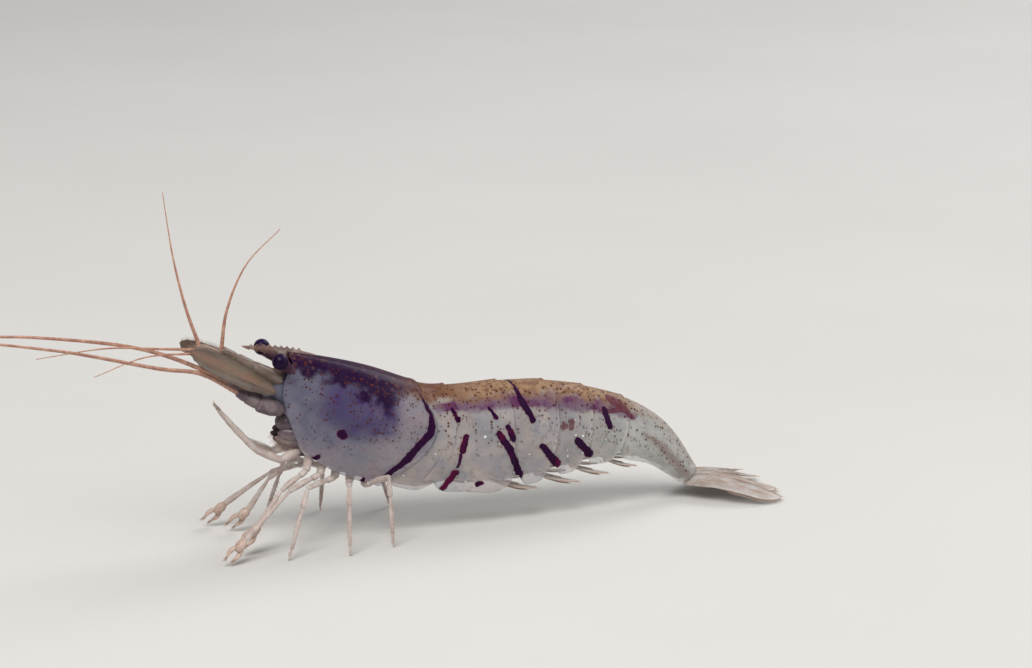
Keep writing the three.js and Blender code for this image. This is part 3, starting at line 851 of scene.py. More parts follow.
class FinishBench(NodeBench):
    """The node bench of one material, with the colour and the opacity laid on it so far."""

    def __init__(self, name: str, effects: Effects, gloss: Gloss) -> None:
        """Starts a material with its shader set.

        Args:
            name: the material's name.
            effects: the shared effects.
            gloss: how it takes the light.
        """
        self.material = bpy.data.materials.new(name)
        self.material.use_nodes = True
        super().__init__(self.material.node_tree)
        self.tree.nodes.clear()
        self.effects = effects
        self.shader = self.add("ShaderNodeBsdfPrincipled", {
            "Roughness": gloss.roughness, "Coat Weight": gloss.coat, "Coat Roughness": 0.12, "IOR": gloss.ior,
            "Subsurface Weight": gloss.flesh, "Subsurface Radius": (1.0, 0.62, 0.5),
            "Subsurface Scale": gloss.depth * MM})
        self.add("ShaderNodeOutputMaterial", (self.shader.outputs[0],))
        where = self.add("ShaderNodeTexCoord").outputs["Object"]
        self.place = self.add("ShaderNodeMapping", {"Vector": where, "Scale": (1 / MM,) * 3}).outputs[0]
        self.lie = self.add("ShaderNodeAttribute", attribute_name="lie").outputs["Vector"]
        self.colour: Any = None
        self.solid: Any = 0.0

    def mottle(self, density: float) -> Socket:
        """Cloudy patches, so many to the millimetre."""
        return self.effect(self.effects.mottle, Place=self.place, Density=density)

    def stipple(self, density: float, size: float, share: float) -> Socket:
        """Colour cells, so many to the millimetre, of that size, of which that share is kept."""
        return self.effect(self.effects.stipple, Place=self.place, Density=density, Size=size, Share=share)

    def ragged(self, reach: float) -> Socket:
        """The lie, shifted by up to about half of reach."""
        return self.effect(self.effects.ragged, Place=self.lie, Grain=self.place, Reach=reach)

    def strokes(self, pattern: Pattern, lie: Socket) -> Socket:
        """The mask of a pattern of marks."""
        return self.effect(self.effects.strokes(pattern), Lie=lie)

    def lay(self, tint: Any, mask: Any, strength: Any = 1.0, solid: Any = 0.0) -> None:
        """Lays a tint over the colour so far.

        Args:
            tint: the tint.
            mask: where it lies, 0 to 1.
            strength: how strongly it covers there.
            solid: how far it makes the piece opaque there.
        """
        self.colour = self.blend(self.times(mask, strength), self.colour, tint)
        if solid:
            self.solid = self.most(self.solid, self.times(mask, solid))

    def dress(self, height: Any, relief: float, strength: float, rough: Any = None,
              clear: float = 1.0) -> None:
        """Joins the shader's inputs.

        Args:
            height: height of the fine relief, 0 to 1.
            relief: the height of 1, in millimetres.
            strength: strength of the relief.
            rough: the roughness, where it varies.
            clear: the opacity where nothing opaque is laid.
        """
        bump = self.add("ShaderNodeBump", {"Height": height, "Distance": relief * MM, "Strength": strength})
        alpha = self.fade(self.solid, clear, 1.0) if clear < 1 else None
        joined = {"Base Color": self.colour, "Normal": bump.outputs[0], "Roughness": rough, "Alpha": alpha}
        for socket, value in joined.items():
            if value:
                self.tree.links.new(value, self.shader.inputs[socket])


# ---- Finishes ----


@dataclass(frozen=True)
class Finish:
    """A finish, whose material is made when the first piece needs it.

    Attributes:
        name: the material's name.
    """

    GLOSS = Gloss()

    name: str

    def coat(self, bench: FinishBench) -> None:
        """Lays the finish's colours and its relief on a bench."""
        raise NotImplementedError


@dataclass(frozen=True)
class TigerShell(Finish):
    """The clear, speckled and striped shell of the trunk.

    Attributes:
        marks: its dark marks.
        head: whether the dark mass of the head lies under it.
        clear: its opacity where it carries no colour.
        side: its faint tint there.
        side_warm: the warmer patches of that tint.
        umber: the darker patches of the stripe along the back.
        dark_share: how dark the marks are at least, from crimson to indigo.
        ochre: the stripe along the back.
        stalk: the paler tint of the tail stalk.
        cheek: the blue grey of the cheeks.
        mauve: the line under that stripe.
        freckle: the small brown colour cells.
        band: the dark marks.
        band_edge: the redder edge of the marks.
        brown: the faint brown marks.
        indigo: the dark mass of the head.
        haze: the violet haze under that mass.
        cloud: the bluer clouds in that haze.
        gold: the golden cells over it.
        glint: the whitish glints on the flank.
    """

    GLOSS = Gloss(roughness=0.3, coat=0.08, flesh=0.15, depth=0.35, ior=1.15)

    marks: Pattern
    head: bool = False
    clear: float = 0.4
    side: Colour = paint(166, 164, 170)
    side_warm: Colour = paint(192, 180, 174)
    umber: Colour = paint(96, 58, 42)
    dark_share: float = 0.6
    ochre: Colour = paint(158, 122, 84)
    stalk: Colour = paint(198, 200, 194)
    cheek: Colour = paint(92, 92, 114)
    mauve: Colour = paint(92, 44, 84)
    freckle: Colour = paint(76, 36, 30)
    band: Colour = paint(36, 0, 42)
    band_edge: Colour = paint(112, 8, 56)
    brown: Colour = paint(84, 30, 48)
    indigo: Colour = paint(28, 0, 42)
    haze: Colour = paint(60, 40, 96)
    cloud: Colour = paint(48, 30, 84)
    gold: Colour = paint(126, 88, 74)
    glint: Colour = paint(222, 226, 226)

    def _head(self, bench: FinishBench, lie: Socket) -> None:
        """Lays on the head's dark mass, its haze, its cheeks and its golden cells.

        Args:
            bench: the material's bench.
            lie: the place on the trunk, with its edges softened.
        """
        at, height, turn = bench.parts(lie)
        soft, patches = bench.mottle(1.5), bench.mottle(2.2)
        cheek = bench.times(bench.ramp(height, -3.3, -1.0), bench.ramp(at, 2.8, 6.2, 1.0, 0.0))
        bench.lay(self.cheek, cheek, bench.fade(soft, 0.9, 0.6), 0.5)
        haze = bench.times(bench.ramp(at, 1.0, 2.6), bench.ramp(at, 4.8, 6.6, 1.0, 0.0),
                           bench.ramp(height, -1.4, -0.2), bench.ramp(height, 0.9, 1.7, 1.0, 0.3))
        bench.lay(self.haze, bench.times(haze, bench.fade(soft, 0.6, 1.0)), 0.92, 0.85)
        bench.lay(self.cloud, bench.strokes(HEAD_CLOUDS, lie), bench.fade(soft, 0.35, 0.7), 0.7)

        limit = bench.fade(bench.ramp(at, 2.0, 4.6), 0.245, 0.31)
        limit = bench.times(limit, bench.ramp(at, 4.9, 6.4, 1.0, 0.5))
        limit = bench.math("MULTIPLY_ADD", bench.math("SUBTRACT", soft, 0.5), 0.08, limit)
        dark = bench.ramp(bench.math("SUBTRACT", turn, limit), -0.055, 0.055, 1.0, 0.0)
        bench.lay(self.indigo, bench.times(dark, bench.ramp(at, 4.9, 6.6, 1.0, 0.15)), 0.97, 1.0)
        ends = bench.most(bench.ramp(at, 0.6, 1.6, 1.0, 0.0), bench.ramp(at, 3.4, 5.6))
        crown = bench.times(bench.ramp(turn, 0.05, 0.19, 1.0, 0.0), bench.fade(ends, 0.25, 1.0))
        bench.lay(self.umber, crown, bench.fade(patches, 0.08, 0.42))
        cells = bench.times(bench.stipple(3.8, 0.5, 0.5), bench.ramp(turn, 0.14, 0.25, 1.0, 0.0))
        bench.lay(self.gold, cells, bench.times(bench.fade(patches, 0.1, 0.6), bench.fade(ends, 0.25, 1.0)))

    def _tail(self, bench: FinishBench, lie: Socket) -> None:
        """Lays on the tail's brown marks and its glints.

        Args:
            bench: the material's bench.
            lie: the place on the trunk, with its edges softened.
        """
        _, _, turn = bench.parts(lie)
        bench.lay(self.brown, bench.strokes(BROWN_MARKS, lie), 0.85, 1.0)
        bench.lay(self.umber, bench.strokes(TAIL_STREAK, bench.ragged(0.5)), 0.6, 0.6)
        glints = bench.times(bench.stipple(2.4, 0.17, 0.4), bench.ramp(turn, 0.3, 0.4))
        bench.lay(self.glint, glints, 1.0, 1.0)

    def coat(self, bench: FinishBench) -> None:
        """Lays the shell's colours from the tint to the dark marks.

        Args:
            bench: the material's bench.
        """
        lie = bench.ragged(0.13)
        at, _, turn = bench.parts(lie)
        cloud = bench.mottle(1.1)
        back = bench.ramp(bench.math("MULTIPLY_ADD", cloud, 0.06, turn), 0.15, 0.27, 1.0, 0.0)
        back = bench.times(back, bench.ramp(at, 17.2, 19.8, 1.0, 0.3))
        bench.colour = bench.blend(cloud, self.side, self.side_warm)
        bench.lay(self.stalk, bench.ramp(at, 13.5, 19.0), 0.7)
        if not self.head:
            gut = bench.strokes(GUT_BAND, bench.ragged(0.5))
            bench.lay(self.mauve, bench.times(gut, bench.fade(cloud, 0.65, 1.0)), 1.0, 0.8)
        bench.lay(self.ochre, back, 0.85, 0.85)
        patches = bench.most(bench.times(bench.mottle(3.4), 0.72), bench.ramp(at, 7.6, 11.0, 0.92, 0.2))
        bench.lay(self.umber, back, patches)
        if self.head:
            self._head(bench, lie)
        coarse = bench.times(bench.stipple(3.4, 0.34, 0.42), bench.fade(back, 0.3, 1.0))
        speckled = bench.most(bench.stipple(6.2, 0.44, 0.5), coarse)
        speckled = bench.times(speckled, bench.ramp(turn, 0.3, 0.72, 0.95, 0.45))
        bench.lay(self.freckle, speckled, 1.0, 0.9)
        if not self.head:
            self._tail(bench, lie)
        marks = bench.strokes(self.marks, bench.ragged(0.2))
        bench.lay(self.band_edge, marks, 1.0, 1.0)
        core = bench.ramp(bench.mottle(0.8), 0.0, 0.45, self.dark_share, 1.0)
        bench.lay(self.band, bench.ramp(marks, 0.3, 0.95), core)
        relief = bench.math("MULTIPLY_ADD", speckled, 0.25, bench.mottle(2.4))
        bench.dress(relief, 0.03, 0.4, bench.fade(cloud, 0.32, 0.46), self.clear)


@dataclass(frozen=True)
class FleshSkin(Finish):
    """The soft body under the shell, milky, with the dark head mass and the gut line showing through.

    Attributes:
        milk: its main colour.
        grey: its greyer parts.
        strand: the pale strands of muscle.
        gut: the line along the back.
        ochre: the colour of the back.
        liver: the mass in the head.
        cheek: the grey of the gill chamber.
        glint: the pale glints in the muscle.
    """

    GLOSS = Gloss(roughness=0.45, flesh=0.5, depth=0.7)

    milk: Colour = paint(208, 202, 198)
    grey: Colour = paint(122, 120, 128)
    strand: Colour = paint(226, 222, 216)
    gut: Colour = paint(96, 52, 88)
    ochre: Colour = paint(126, 92, 70)
    liver: Colour = paint(28, 2, 38)
    cheek: Colour = paint(90, 92, 114)
    glint: Colour = paint(232, 228, 220)

    def coat(self, bench: FinishBench) -> None:
        """Lays the flesh's colours from the milky ground to the glints.

        Args:
            bench: the material's bench.
        """
        lie = bench.ragged(0.4)
        at, height, turn = bench.parts(lie)
        cloud = bench.mottle(0.62)
        bench.colour = bench.blend(cloud, self.milk, self.grey)
        slant = bench.math("ADD", bench.times(at, 2.4), bench.times(height, 1.3))
        wave = bench.math("MULTIPLY_ADD", bench.math("SINE", slant), 0.5, 0.5)
        fine_wave = bench.math("MULTIPLY_ADD", bench.math("SINE", bench.times(slant, 5.0)), 0.5, 0.5)
        strand = bench.times(bench.ramp(wave, 0.45, 0.95), bench.fade(fine_wave, 0.6, 1.0),
                             bench.ramp(at, 7.4, 8.8))
        bench.lay(self.strand, strand, 0.5)
        cheek = bench.times(bench.ramp(at, 4.0, 7.2, 1.0, 0.0), bench.ramp(height, -3.0, -0.6, 0.15, 1.0))
        bench.lay(self.cheek, cheek, 0.9)
        bench.lay(self.gut, bench.strokes(GUT_BAND, lie), 0.8)
        back = bench.times(bench.ramp(turn, 0.16, 0.26, 1.0, 0.0), bench.ramp(at, 17.2, 19.8, 1.0, 0.2))
        bench.lay(self.ochre, back, 0.9)
        liver = bench.times(bench.ramp(turn, 0.26, 0.38, 1.0, 0.0), bench.ramp(at, 4.6, 6.4, 1.0, 0.0))
        bench.lay(self.liver, liver, bench.ramp(at, -0.6, 0.8, 0.5, 1.0))
        bench.lay(self.glint, bench.stipple(2.6, 0.16, 0.3), bench.ramp(at, 8.0, 10.0))
        bench.dress(cloud, 0.05, 0.4)


@dataclass(frozen=True)
class Cuticle(Finish):
    """Thin, milky, faintly freckled skin of limbs.

    Attributes:
        main: its main colour.
        deep: its darker parts.
        clear: its opacity.
        share: how many colour cells it has, 0 to 1.
        ringed: rings per millimetre, or 0 for none.
        freckle: the colour cells.
    """

    GLOSS = Gloss(coat=0.2, flesh=0.35, depth=0.3)

    main: Colour
    deep: Colour
    clear: float = 0.9
    share: float = 0.25
    ringed: float = 0.0
    freckle: Colour = paint(120, 70, 50)

    def coat(self, bench: FinishBench) -> None:
        """Lays the skin's colours, its rings where it has them, and its freckles.

        Args:
            bench: the material's bench.
        """
        cloud = bench.mottle(2.2)
        relief = cloud
        bench.colour = bench.blend(cloud, self.main, self.deep)
        bench.solid = bench.times(cloud, 0.5)
        if self.ringed:
            rings = bench.effect(bench.effects.rings, Lie=bench.lie, Density=self.ringed)
            bench.lay(self.freckle, rings, 0.26)
            relief = bench.math("MULTIPLY_ADD", rings, -0.6, cloud)
        bench.lay(self.freckle, bench.stipple(8.0, 0.36, self.share), 0.75, 1.0)
        bench.dress(relief, 0.015, 0.5, bench.fade(cloud, 0.28, 0.42), self.clear)


@dataclass(frozen=True)
class LeafBlade(Finish):
    """A thin leaf-like blade with a coloured rib: the antennal scales and the tail fan.

    Attributes:
        main: its main colour.
        rib: the colour along its middle.
        edge: the colour of its rim.
        clear: its opacity away from the rib.
        vivid: strength of the rib's colour.
        reach: half width of the coloured rib, as a share of half the turn round it.
        freckle: the colour cells.
    """

    GLOSS = Gloss(coat=0.2, flesh=0.25, depth=0.25)

    main: Colour
    rib: Colour
    edge: Colour
    clear: float
    vivid: float = 0.8
    reach: float = 0.2
    freckle: Colour = paint(112, 66, 44)

    def coat(self, bench: FinishBench) -> None:
        """Lays the blade's colours, its rib, its rim and its freckles.

        Args:
            bench: the material's bench.
        """
        _, turn, _ = bench.parts(bench.ragged(0.08))
        side = bench.math("ABSOLUTE", turn)
        middle = bench.math("MINIMUM", side, bench.math("SUBTRACT", 1.0, side))
        cloud = bench.mottle(1.3)
        bench.colour = bench.blend(cloud, self.main, self.edge)
        bench.lay(self.edge, bench.ramp(middle, 0.4, 0.48), 0.6, 0.6)
        rib = bench.times(bench.ramp(middle, 0.0, self.reach, 1.0, 0.0), bench.fade(cloud, 0.45, 1.0))
        bench.lay(self.rib, rib, self.vivid, 1.0)
        bench.lay(self.freckle, bench.stipple(7.0, 0.36, 0.34), 0.8, 1.0)
        veins = bench.math("SINE", bench.times(middle, 60.0))
        bench.dress(bench.math("MULTIPLY_ADD", veins, 0.2, 0.5), 0.02, 0.4, None, self.clear)


@dataclass(frozen=True)
class EyeGlobe(Finish):
    """The faceted, nearly black eye.

    Attributes:
        deep: its main colour.
        glow: the violet that shows in it.
    """

    GLOSS = Gloss(roughness=0.3, coat=0.12, ior=1.16)

    deep: Colour = paint(12, 0, 26)
    glow: Colour = paint(36, 8, 54)

    def coat(self, bench: FinishBench) -> None:
        """Lays the eye's colours and its facets.

        Args:
            bench: the material's bench.
        """
        facets = bench.stipple(30.0, 0.7, 1.0)
        bench.colour = bench.blend(bench.mottle(3.0), self.deep, self.glow)
        bench.lay(self.glow, facets, 0.3)
        bench.dress(facets, 0.006, 0.35)


@dataclass(frozen=True)
class BristleHorn(Finish):
    """The fine pale hair of fringes, brushes and spines.

    Attributes:
        root: its colour at the root.
        tip: its colour at the tip.
    """

    GLOSS = Gloss(roughness=0.45)

    root: Colour = paint(150, 118, 98)
    tip: Colour = paint(206, 186, 170)

    def coat(self, bench: FinishBench) -> None:
        """Lays the colour of the tips into that of the roots.

        Args:
            bench: the material's bench.
        """
        _, _, share = bench.parts(bench.lie)
        cloud = bench.mottle(3.0)
        bench.colour = bench.blend(bench.times(share, bench.fade(cloud, 0.6, 1.0)), self.root, self.tip)
        bench.dress(cloud, 0.005, 0.3)


CARAPACE_SHELL = TigerShell(
    "carapace_shell", HEAD_MARKS, head=True, clear=0.45, side=paint(146, 144, 156),
    side_warm=paint(166, 154, 160), umber=paint(78, 44, 46), dark_share=0.97)
SOMITE_SHELL = TigerShell("somite_shell", TAIL_MARKS)
FLESH = FleshSkin("flesh")
EYE = EyeGlobe("eye_globe")
ROSTRUM = Cuticle("rostrum_skin", paint(150, 124, 108), paint(98, 68, 66), 0.5, share=0.5)
EYESTALK = Cuticle("eyestalk_skin", paint(88, 58, 72), paint(46, 20, 48), 1.0, share=0.4)
MOUTH = Cuticle("mouth_skin", paint(126, 112, 112), paint(88, 74, 84), 0.95)
LIMB = Cuticle("limb_skin", paint(210, 198, 190), paint(178, 160, 154), 0.66)
CLAW = Cuticle("claw_skin", paint(208, 188, 174), paint(180, 152, 138), 0.8)
SWIMMERET = Cuticle("swimmeret_skin", paint(210, 198, 190), paint(188, 174, 168), 0.6)
FEELER_STEM = Cuticle("feeler_stem_skin", paint(128, 114, 102), paint(98, 82, 76), share=0.5)
FEELER = Cuticle("feeler_skin", paint(184, 146, 126), paint(148, 108, 92), 1.0, share=0.2, ringed=4.0)
SCALE = LeafBlade("antennal_scale_skin", paint(108, 96, 84), paint(154, 110, 82), paint(84, 72, 66), 0.76,
                  vivid=0.42, reach=0.26)
FAN = LeafBlade("tail_fan_skin", paint(206, 202, 198), paint(156, 120, 98), paint(176, 162, 152), 0.55)
BRISTLE = BristleHorn("bristle")


# ---- The workshop ----


@dataclass
class Workshop:
    """Takes finished shapes to the part's frame and hangs them on the frame's body.

    Attributes:
        trunk: the trunk's surface, which fixes the frame of the spine.
        body: the body that every piece rides on.
        chance: the one source of small irregularities, seeded.
        offset: from the frame of the spine to the part's frame.
        effects: the shared effects.
        made: the materials made so far.
    """

    trunk: Trunk
    body: str = "root"
    chance: random.Random = field(default_factory=lambda: random.Random(11))
    offset: Vector = field(default_factory=Vector)
    effects: Effects = field(default_factory=Effects)
    made: dict[str, bpy.types.Material] = field(default_factory=dict)

    def __post_init__(self) -> None:
        """Finds the offset from the left eye, a round solid whose place in both frames is known."""
        low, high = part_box("eye_left")
        at, height, out = Eye.PLACES[Side.LEFT]
        self.offset = (low + high) / (2 * MM) - self.trunk.point(at, height, -out)

    def material(self, finish: Finish) -> bpy.types.Material:
        """Makes a finish's material, once.

        Args:
            finish: the finish.

        Returns:
            The material.
        """
        if finish.name not in self.made:
            bench = FinishBench(finish.name, self.effects, finish.GLOSS)
            finish.coat(bench)
            self.made[finish.name] = bench.material
        return self.made[finish.name]

    def finish(self, name: str, shape: Shape, slot: Slot, *finishes: Finish, nodes: Sequence[str] = (),
               wall: float = 0.0) -> None:
        """Makes a piece of a shape.

        Args:
            name: the piece's name.
            shape: its mesh, which is used up.
            slot: the material slot that it belongs to; not used.
            *finishes: its finishes, in the order of the faces' indices.
            nodes: the frame's nodes that it stands for, where its name without its last word isn't the one.
            wall: thickness given inwards to an open sheet.
        """
        for vert in shape.bm.verts:
            vert.co = (vert.co + self.offset) * MM
        if not wall:
            bmesh.ops.recalc_face_normals(shape.bm, faces=shape.bm.faces[:])
        for face in shape.bm.faces:
            face.smooth = True
        mesh = bpy.data.meshes.new(name)
        shape.bm.to_mesh(mesh)
        shape.bm.free()
        for finish in finishes:
            mesh.materials.append(self.material(finish))
        piece = stand(name, mesh)
        if wall:
            thickness = piece.modifiers.new("wall", "SOLIDIFY")
            thickness.thickness = wall * MM
            thickness.offset = -1.0
        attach(piece, self.body)
        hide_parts(*(nodes or (name.rpartition("_")[0],)))
        log.info("%s: %d faces", name, len(mesh.polygons))


@dataclass
class Part:
    """A sub-assembly of the animal.

    Attributes:
        shop: the workshop that makes its pieces.
    """

    shop: Workshop

    @property
    def trunk(self) -> Trunk:
        """The trunk's surface, in whose frame every sub-assembly is placed."""
        return self.shop.trunk


@dataclass
class PairedPart(Part):
    """A sub-assembly that stands on one side of the body.

    Attributes:
        side: its side.
    """

    side: Side

    def at(self, place: Sequence[float]) -> Vector:
        """The point at a place on this side."""
        return self.trunk.point(place[0], place[1], self.side.value * place[2])

    def finish(self, node: str, kind: str, shape: Shape, slot: Slot, *finishes: Finish) -> None:
        """Makes the piece of that kind that stands for this side's node."""
        self.shop.finish(f"{node}_{self.side.label}_{kind}", shape, slot, *finishes)


# ---- The trunk's pieces ----


@dataclass
class ShellPlate(Part):
    """One plate of the trunk's shell, from its front edge to its hind edge.

    Attributes:
        name: the frame's node that it stands for.
        before: the edge of the plate in front, or None for the carapace.
        edge: its own hind edge.
        slot: its material slot.
        skin: its finish.
        flare: how far its hind edge stands proud, as a share.
        lap: how far it runs under the plate in front.
        over: how far its side lobe overlaps the plate in front.
        wall: its thickness.
        columns: quads along it.
        rows: quads round it.
        sink: how far its front edge lies under the surface of the plate in front.
        rise: how far its side lobe stands over that surface.
        bead: height of the bead along its hind edge.
        front_back: the carapace's front edge on the back.
        front_bay: how far the orbit is cut into it.
        bay_turn: the orbit's middle and half height, as shares of the way down.
        front_corner: how far its front edge slants back to the lower corner.
        slant_from: where that slant starts, as a share of the way down.
    """

    name: str
    before: PlateEdge | None
    edge: PlateEdge
    slot: Slot
    skin: Finish
    flare: float = 0.035
    lap: float = 0.42
    over: float = 0.0
    wall: float = 0.05
    columns: int = 48
    rows: int = 108
    sink: float = 0.09
    rise: float = 0.11
    bead: float = 0.02
    front_back: float = -0.13
    front_bay: float = 0.22
    bay_turn: tuple[float, float] = (0.22, 0.1)
    front_corner: float = 1.95
    slant_from: float = 0.35

    def _front(self, turn: float) -> float:
        """Where its front edge crosses the trunk.

        Args:
            turn: the turn round the section.

        Returns:
            The distance along the spine.
        """
        edge = self.trunk.edge
        if self.before:
            lobe = self.over * ease(0.55, 0.95, turn / edge)
            return self.before.hind(turn, edge) + GAP + self.before.cut(turn, edge) - lobe
        t = min(turn / edge, 1.0)
        bay = self.front_bay * math.exp(-(((t - self.bay_turn[0]) / self.bay_turn[1]) ** 2))
        slant = max(0.0, (t - self.slant_from) / (1 - self.slant_from))
        return self.front_back + bay + self.front_corner * slant ** 2

    def _place(self, u: float, v: float) -> Spot:
        """The plate's outer surface.

        Args:
            u: from the front edge to the hind edge.
            v: from the left lower edge over the back to the right one.

        Returns:
            The point and its lie.
        """
        trunk = self.trunk
        side = -1 if v < 0.5 else 1
        share = (u - self.lap_share) / (1 - self.lap_share)
        corner = 0.075 * abs(2 * clamp(share) - 1) ** 5 if self.before else 0.05 * (1 - clamp(share)) ** 6
        turn = abs(2 * v - 1) * (trunk.edge - corner)
        front = self._front(turn)
        hind = self.edge.hind(turn, trunk.edge) - self.edge.cut(turn, trunk.edge)
        at = front + (hind - front) * share
        if share < 0:
            at = front + self.lap * share * (1 - self.lap_share) / self.lap_share
        lobe = ease(0.5, 0.8, turn / trunk.edge) if self.over else 0.0
        grow = self.rise * lobe * (1 - ease(0.1, 0.45, share))
        if self.before:
            grow -= self.sink * (1 - ease(-0.02, 0.06, share)) * (1 - lobe)
        if self.flare:
            grow += self.bead * (ease(0.94, 0.975, share) - 0.9 * ease(0.985, 1.0, share))
        height, out = trunk.outline(at, turn, grow)
        proud = 1 + self.flare * clamp(share) ** 2
        point = trunk.point(at, height * proud, side * out * proud)
        return point, Vector((at, height, turn))

    @property
    def lap_share(self) -> float:
        """The share of its columns that lie under the plate in front."""
        return 0.12 if self.before else 0.0

    def build(self) -> None:
        """Makes the plate."""
        shape = Shape()
        shape.sheet(self.columns, self.rows, self._place)
        self.shop.finish(f"{self.name}_shell", shape, self.slot, self.skin, wall=self.wall)


@dataclass
class Rostrum(Part):
    """The saw-toothed blade over the eyes.

    Attributes:
        root: where it leaves the back.
        tip: where it ends.
        root_top: its upper edge over the spine at the root.
        tip_top: the same at the tip.
        crown: how far the upper edge arches.
        depth: its depth at the root.
        thick: half thickness at the root and the tip.
        teeth: number of teeth above.
        first: where they start, as a share of the length.
        spread: the share of the length that they take.
        lean: how far a tooth's tip lies ahead of its foot, as a share of the length.
        tooth: height of the first tooth.
        below: number of teeth below.
        below_pitch: their spacing, as a share of the length.
        below_depth: their depth.
    """

    root: float = 1.3
    tip: float = -2.45
    root_top: float = 2.14
    tip_top: float = 1.77
    crown: float = 0.08
    depth: float = 0.62
    thick: tuple[float, float] = (0.2, 0.06)
    teeth: int = 9
    first: float = 0.18
    spread: float = 0.72
    lean: float = 0.06
    tooth: float = 0.14
    below: int = 3
    below_pitch: float = 0.12
    below_depth: float = 0.06

    def _top(self, s: float) -> float:
        """The smooth upper edge."""
        return self.root_top + self.crown * math.sin(math.pi * s) + (self.tip_top - self.root_top) * s ** 1.5

    def _saw(self, s: float) -> float:
        """How far a tooth rises over the upper edge.

        Args:
            s: from the root to the tip.

        Returns:
            The height.
        """
        pitch = self.spread / self.teeth
        place = (s - self.first) / pitch
        if not 0 <= place < self.teeth:
            return 0.0
        part = place % 1.0
        peak = self.lean / pitch
        rise = (part / peak) ** 1.5 if part < peak else 1 - (part - peak) / (1 - peak)
        return self.tooth * (1 - 0.5 * s) * rise

    def _comb(self, s: float) -> float:
        """How far a tooth drops under the lower edge."""
        place = (s - (1 - self.below_pitch * self.below)) / self.below_pitch
        return self.below_depth * (1 - place % 1.0) if 0 <= place < self.below else 0.0

    def build(self) -> None:
        """Makes the blade."""
        shape = Shape()

        def place(turn: float, s: float) -> Spot:
            """A point of the blade, whose section is a slim lens with a ridge along its middle.

            Args:
                turn: from -1 to 1, 0 on the upper edge.
                s: from the root to the tip.

            Returns:
                The point and its lie.
            """
            angle = turn * math.pi
            high = self._top(s) + self._saw(s)
            low = self._top(s) - self.depth * (1 - s) ** 0.7 - self._comb(s) - 0.02
            k = 0.5 + 0.5 * math.cos(angle)
            height = mix(low, high, k)
            half = mix(*self.thick, s) * (1 - ease(0.9, 1.0, s) * 0.6)
            ridge = math.exp(-(((k - 0.42) / 0.16) ** 2))
            across = half * abs(math.sin(angle)) ** 0.8 * mix(0.55, 1.0, ridge)
            at = mix(self.root, self.tip, s)
            point = self.trunk.point(at, height, math.copysign(across, math.sin(angle)))
            return point, Vector((at, 2.0 + 0.2 * k, 0.05))

        shape.tube(20, 260, place)
        self.shop.finish("rostrum_blade", shape, Slot.HEAD_SHELL, ROSTRUM)


@dataclass
class Flesh(Part):
    """The soft body in the shell: one closed skin from the face to the end of the tail stalk.

    Attributes:
        inset: how far inside it keeps.
        lift: how far the tail's belly is drawn up, as a share of the depth.
        face: middle of the face as distance along the spine and height over it.
        face_half: half lengths of the face along the spine, over it and across.
    """

    inset: float = 0.08
    lift: float = 0.14
    face: tuple[float, float] = (0.05, 0.2)
    face_half: Place = (0.95, 1.05, 0.76)

    def _place(self, turn: float, s: float) -> Spot:
        """A point of the skin.

        Args:
            turn: from -1 to 1, 0 on the back.
            s: from the face to the tail.

        Returns:
            The point and its lie.
        """
        start, end = self.face[0] - self.face_half[0], self.trunk.stations[-1].at - 0.05
        at = mix(start, end, mix(s, s * s, 0.35))
        round_turn = abs(turn)
        height, out = self.trunk.outline(max(at, 0.0), round_turn, -self.inset)
        if height < 0:
            height *= 1 - self.lift * ease(7.4, 9.0, at)
        ahead = min((at - self.face[0]) / self.face_half[0], 0.0)
        ball = math.sqrt(max(1 - ahead * ahead, 0.0004))
        angle = round_turn * math.pi
        face_height = self.face[1] + self.face_half[1] * ball * math.cos(angle)
        face_out = self.face_half[2] * ball * math.sin(angle)
        grown = ease(-0.1, 1.9, at)
        height, out = mix(face_height, height, grown), mix(face_out, out, grown)
        close = math.sqrt(max(1 - (max(at - (end - 0.4), 0.0) / 0.4) ** 2, 0.03))
        side = -1 if turn < 0 else 1
        return self.trunk.point(at, height * close, side * out * close), Vector((at, height, round_turn))

    def build(self) -> None:
        """Makes the skin."""
        shape = Shape()
        shape.tube(72, 190, self._place)
        self.shop.finish("flesh", shape, Slot.HEAD_SHELL, FLESH, nodes=("face", "thorax_floor"))


# ---- The head's pieces ----


@dataclass
class Eye(PairedPart):
    """A round eye on its stalk.

    Attributes:
        radius: the globe's radius.
        root: the place of the stalk's root.
        waist: the stalk's radii, by share of the way to the eye.
    """

    PLACES = {Side.LEFT: (-0.7, 1.6, 1.15), Side.RIGHT: (-1.05, 1.72, 1.15)}

    radius: float = 0.405
    root: Place = (0.35, 1.1, 0.42)
    waist: Rows = ((0.0, 0.3), (0.45, 0.24), (0.72, 0.31), (0.9, 0.37), (1.0, 0.36))

    def build(self) -> None:
        """Makes the globe and the stalk."""
        middle, root = self.at(self.PLACES[self.side]), self.at(self.root)
        way = (middle - root).normalized()
        globe = Shape()
        globe.ball(middle, (self.radius,) * 3, way.to_track_quat("Z", "Y").to_matrix(), fine=48)
        self.finish("eye", "globe", globe, Slot.EYE, EYE)
        stalk = Shape()
        reach = middle + way * 0.1
        waist = through(self.waist)
        stalk.rod(lambda s: root.lerp(reach, s), waist, waist, UPRIGHT, rings=28, sides=24, ends=(0.05, 0.12))
        self.finish("eyestalk", "skin", stalk, Slot.EYESTALK, EYESTALK)


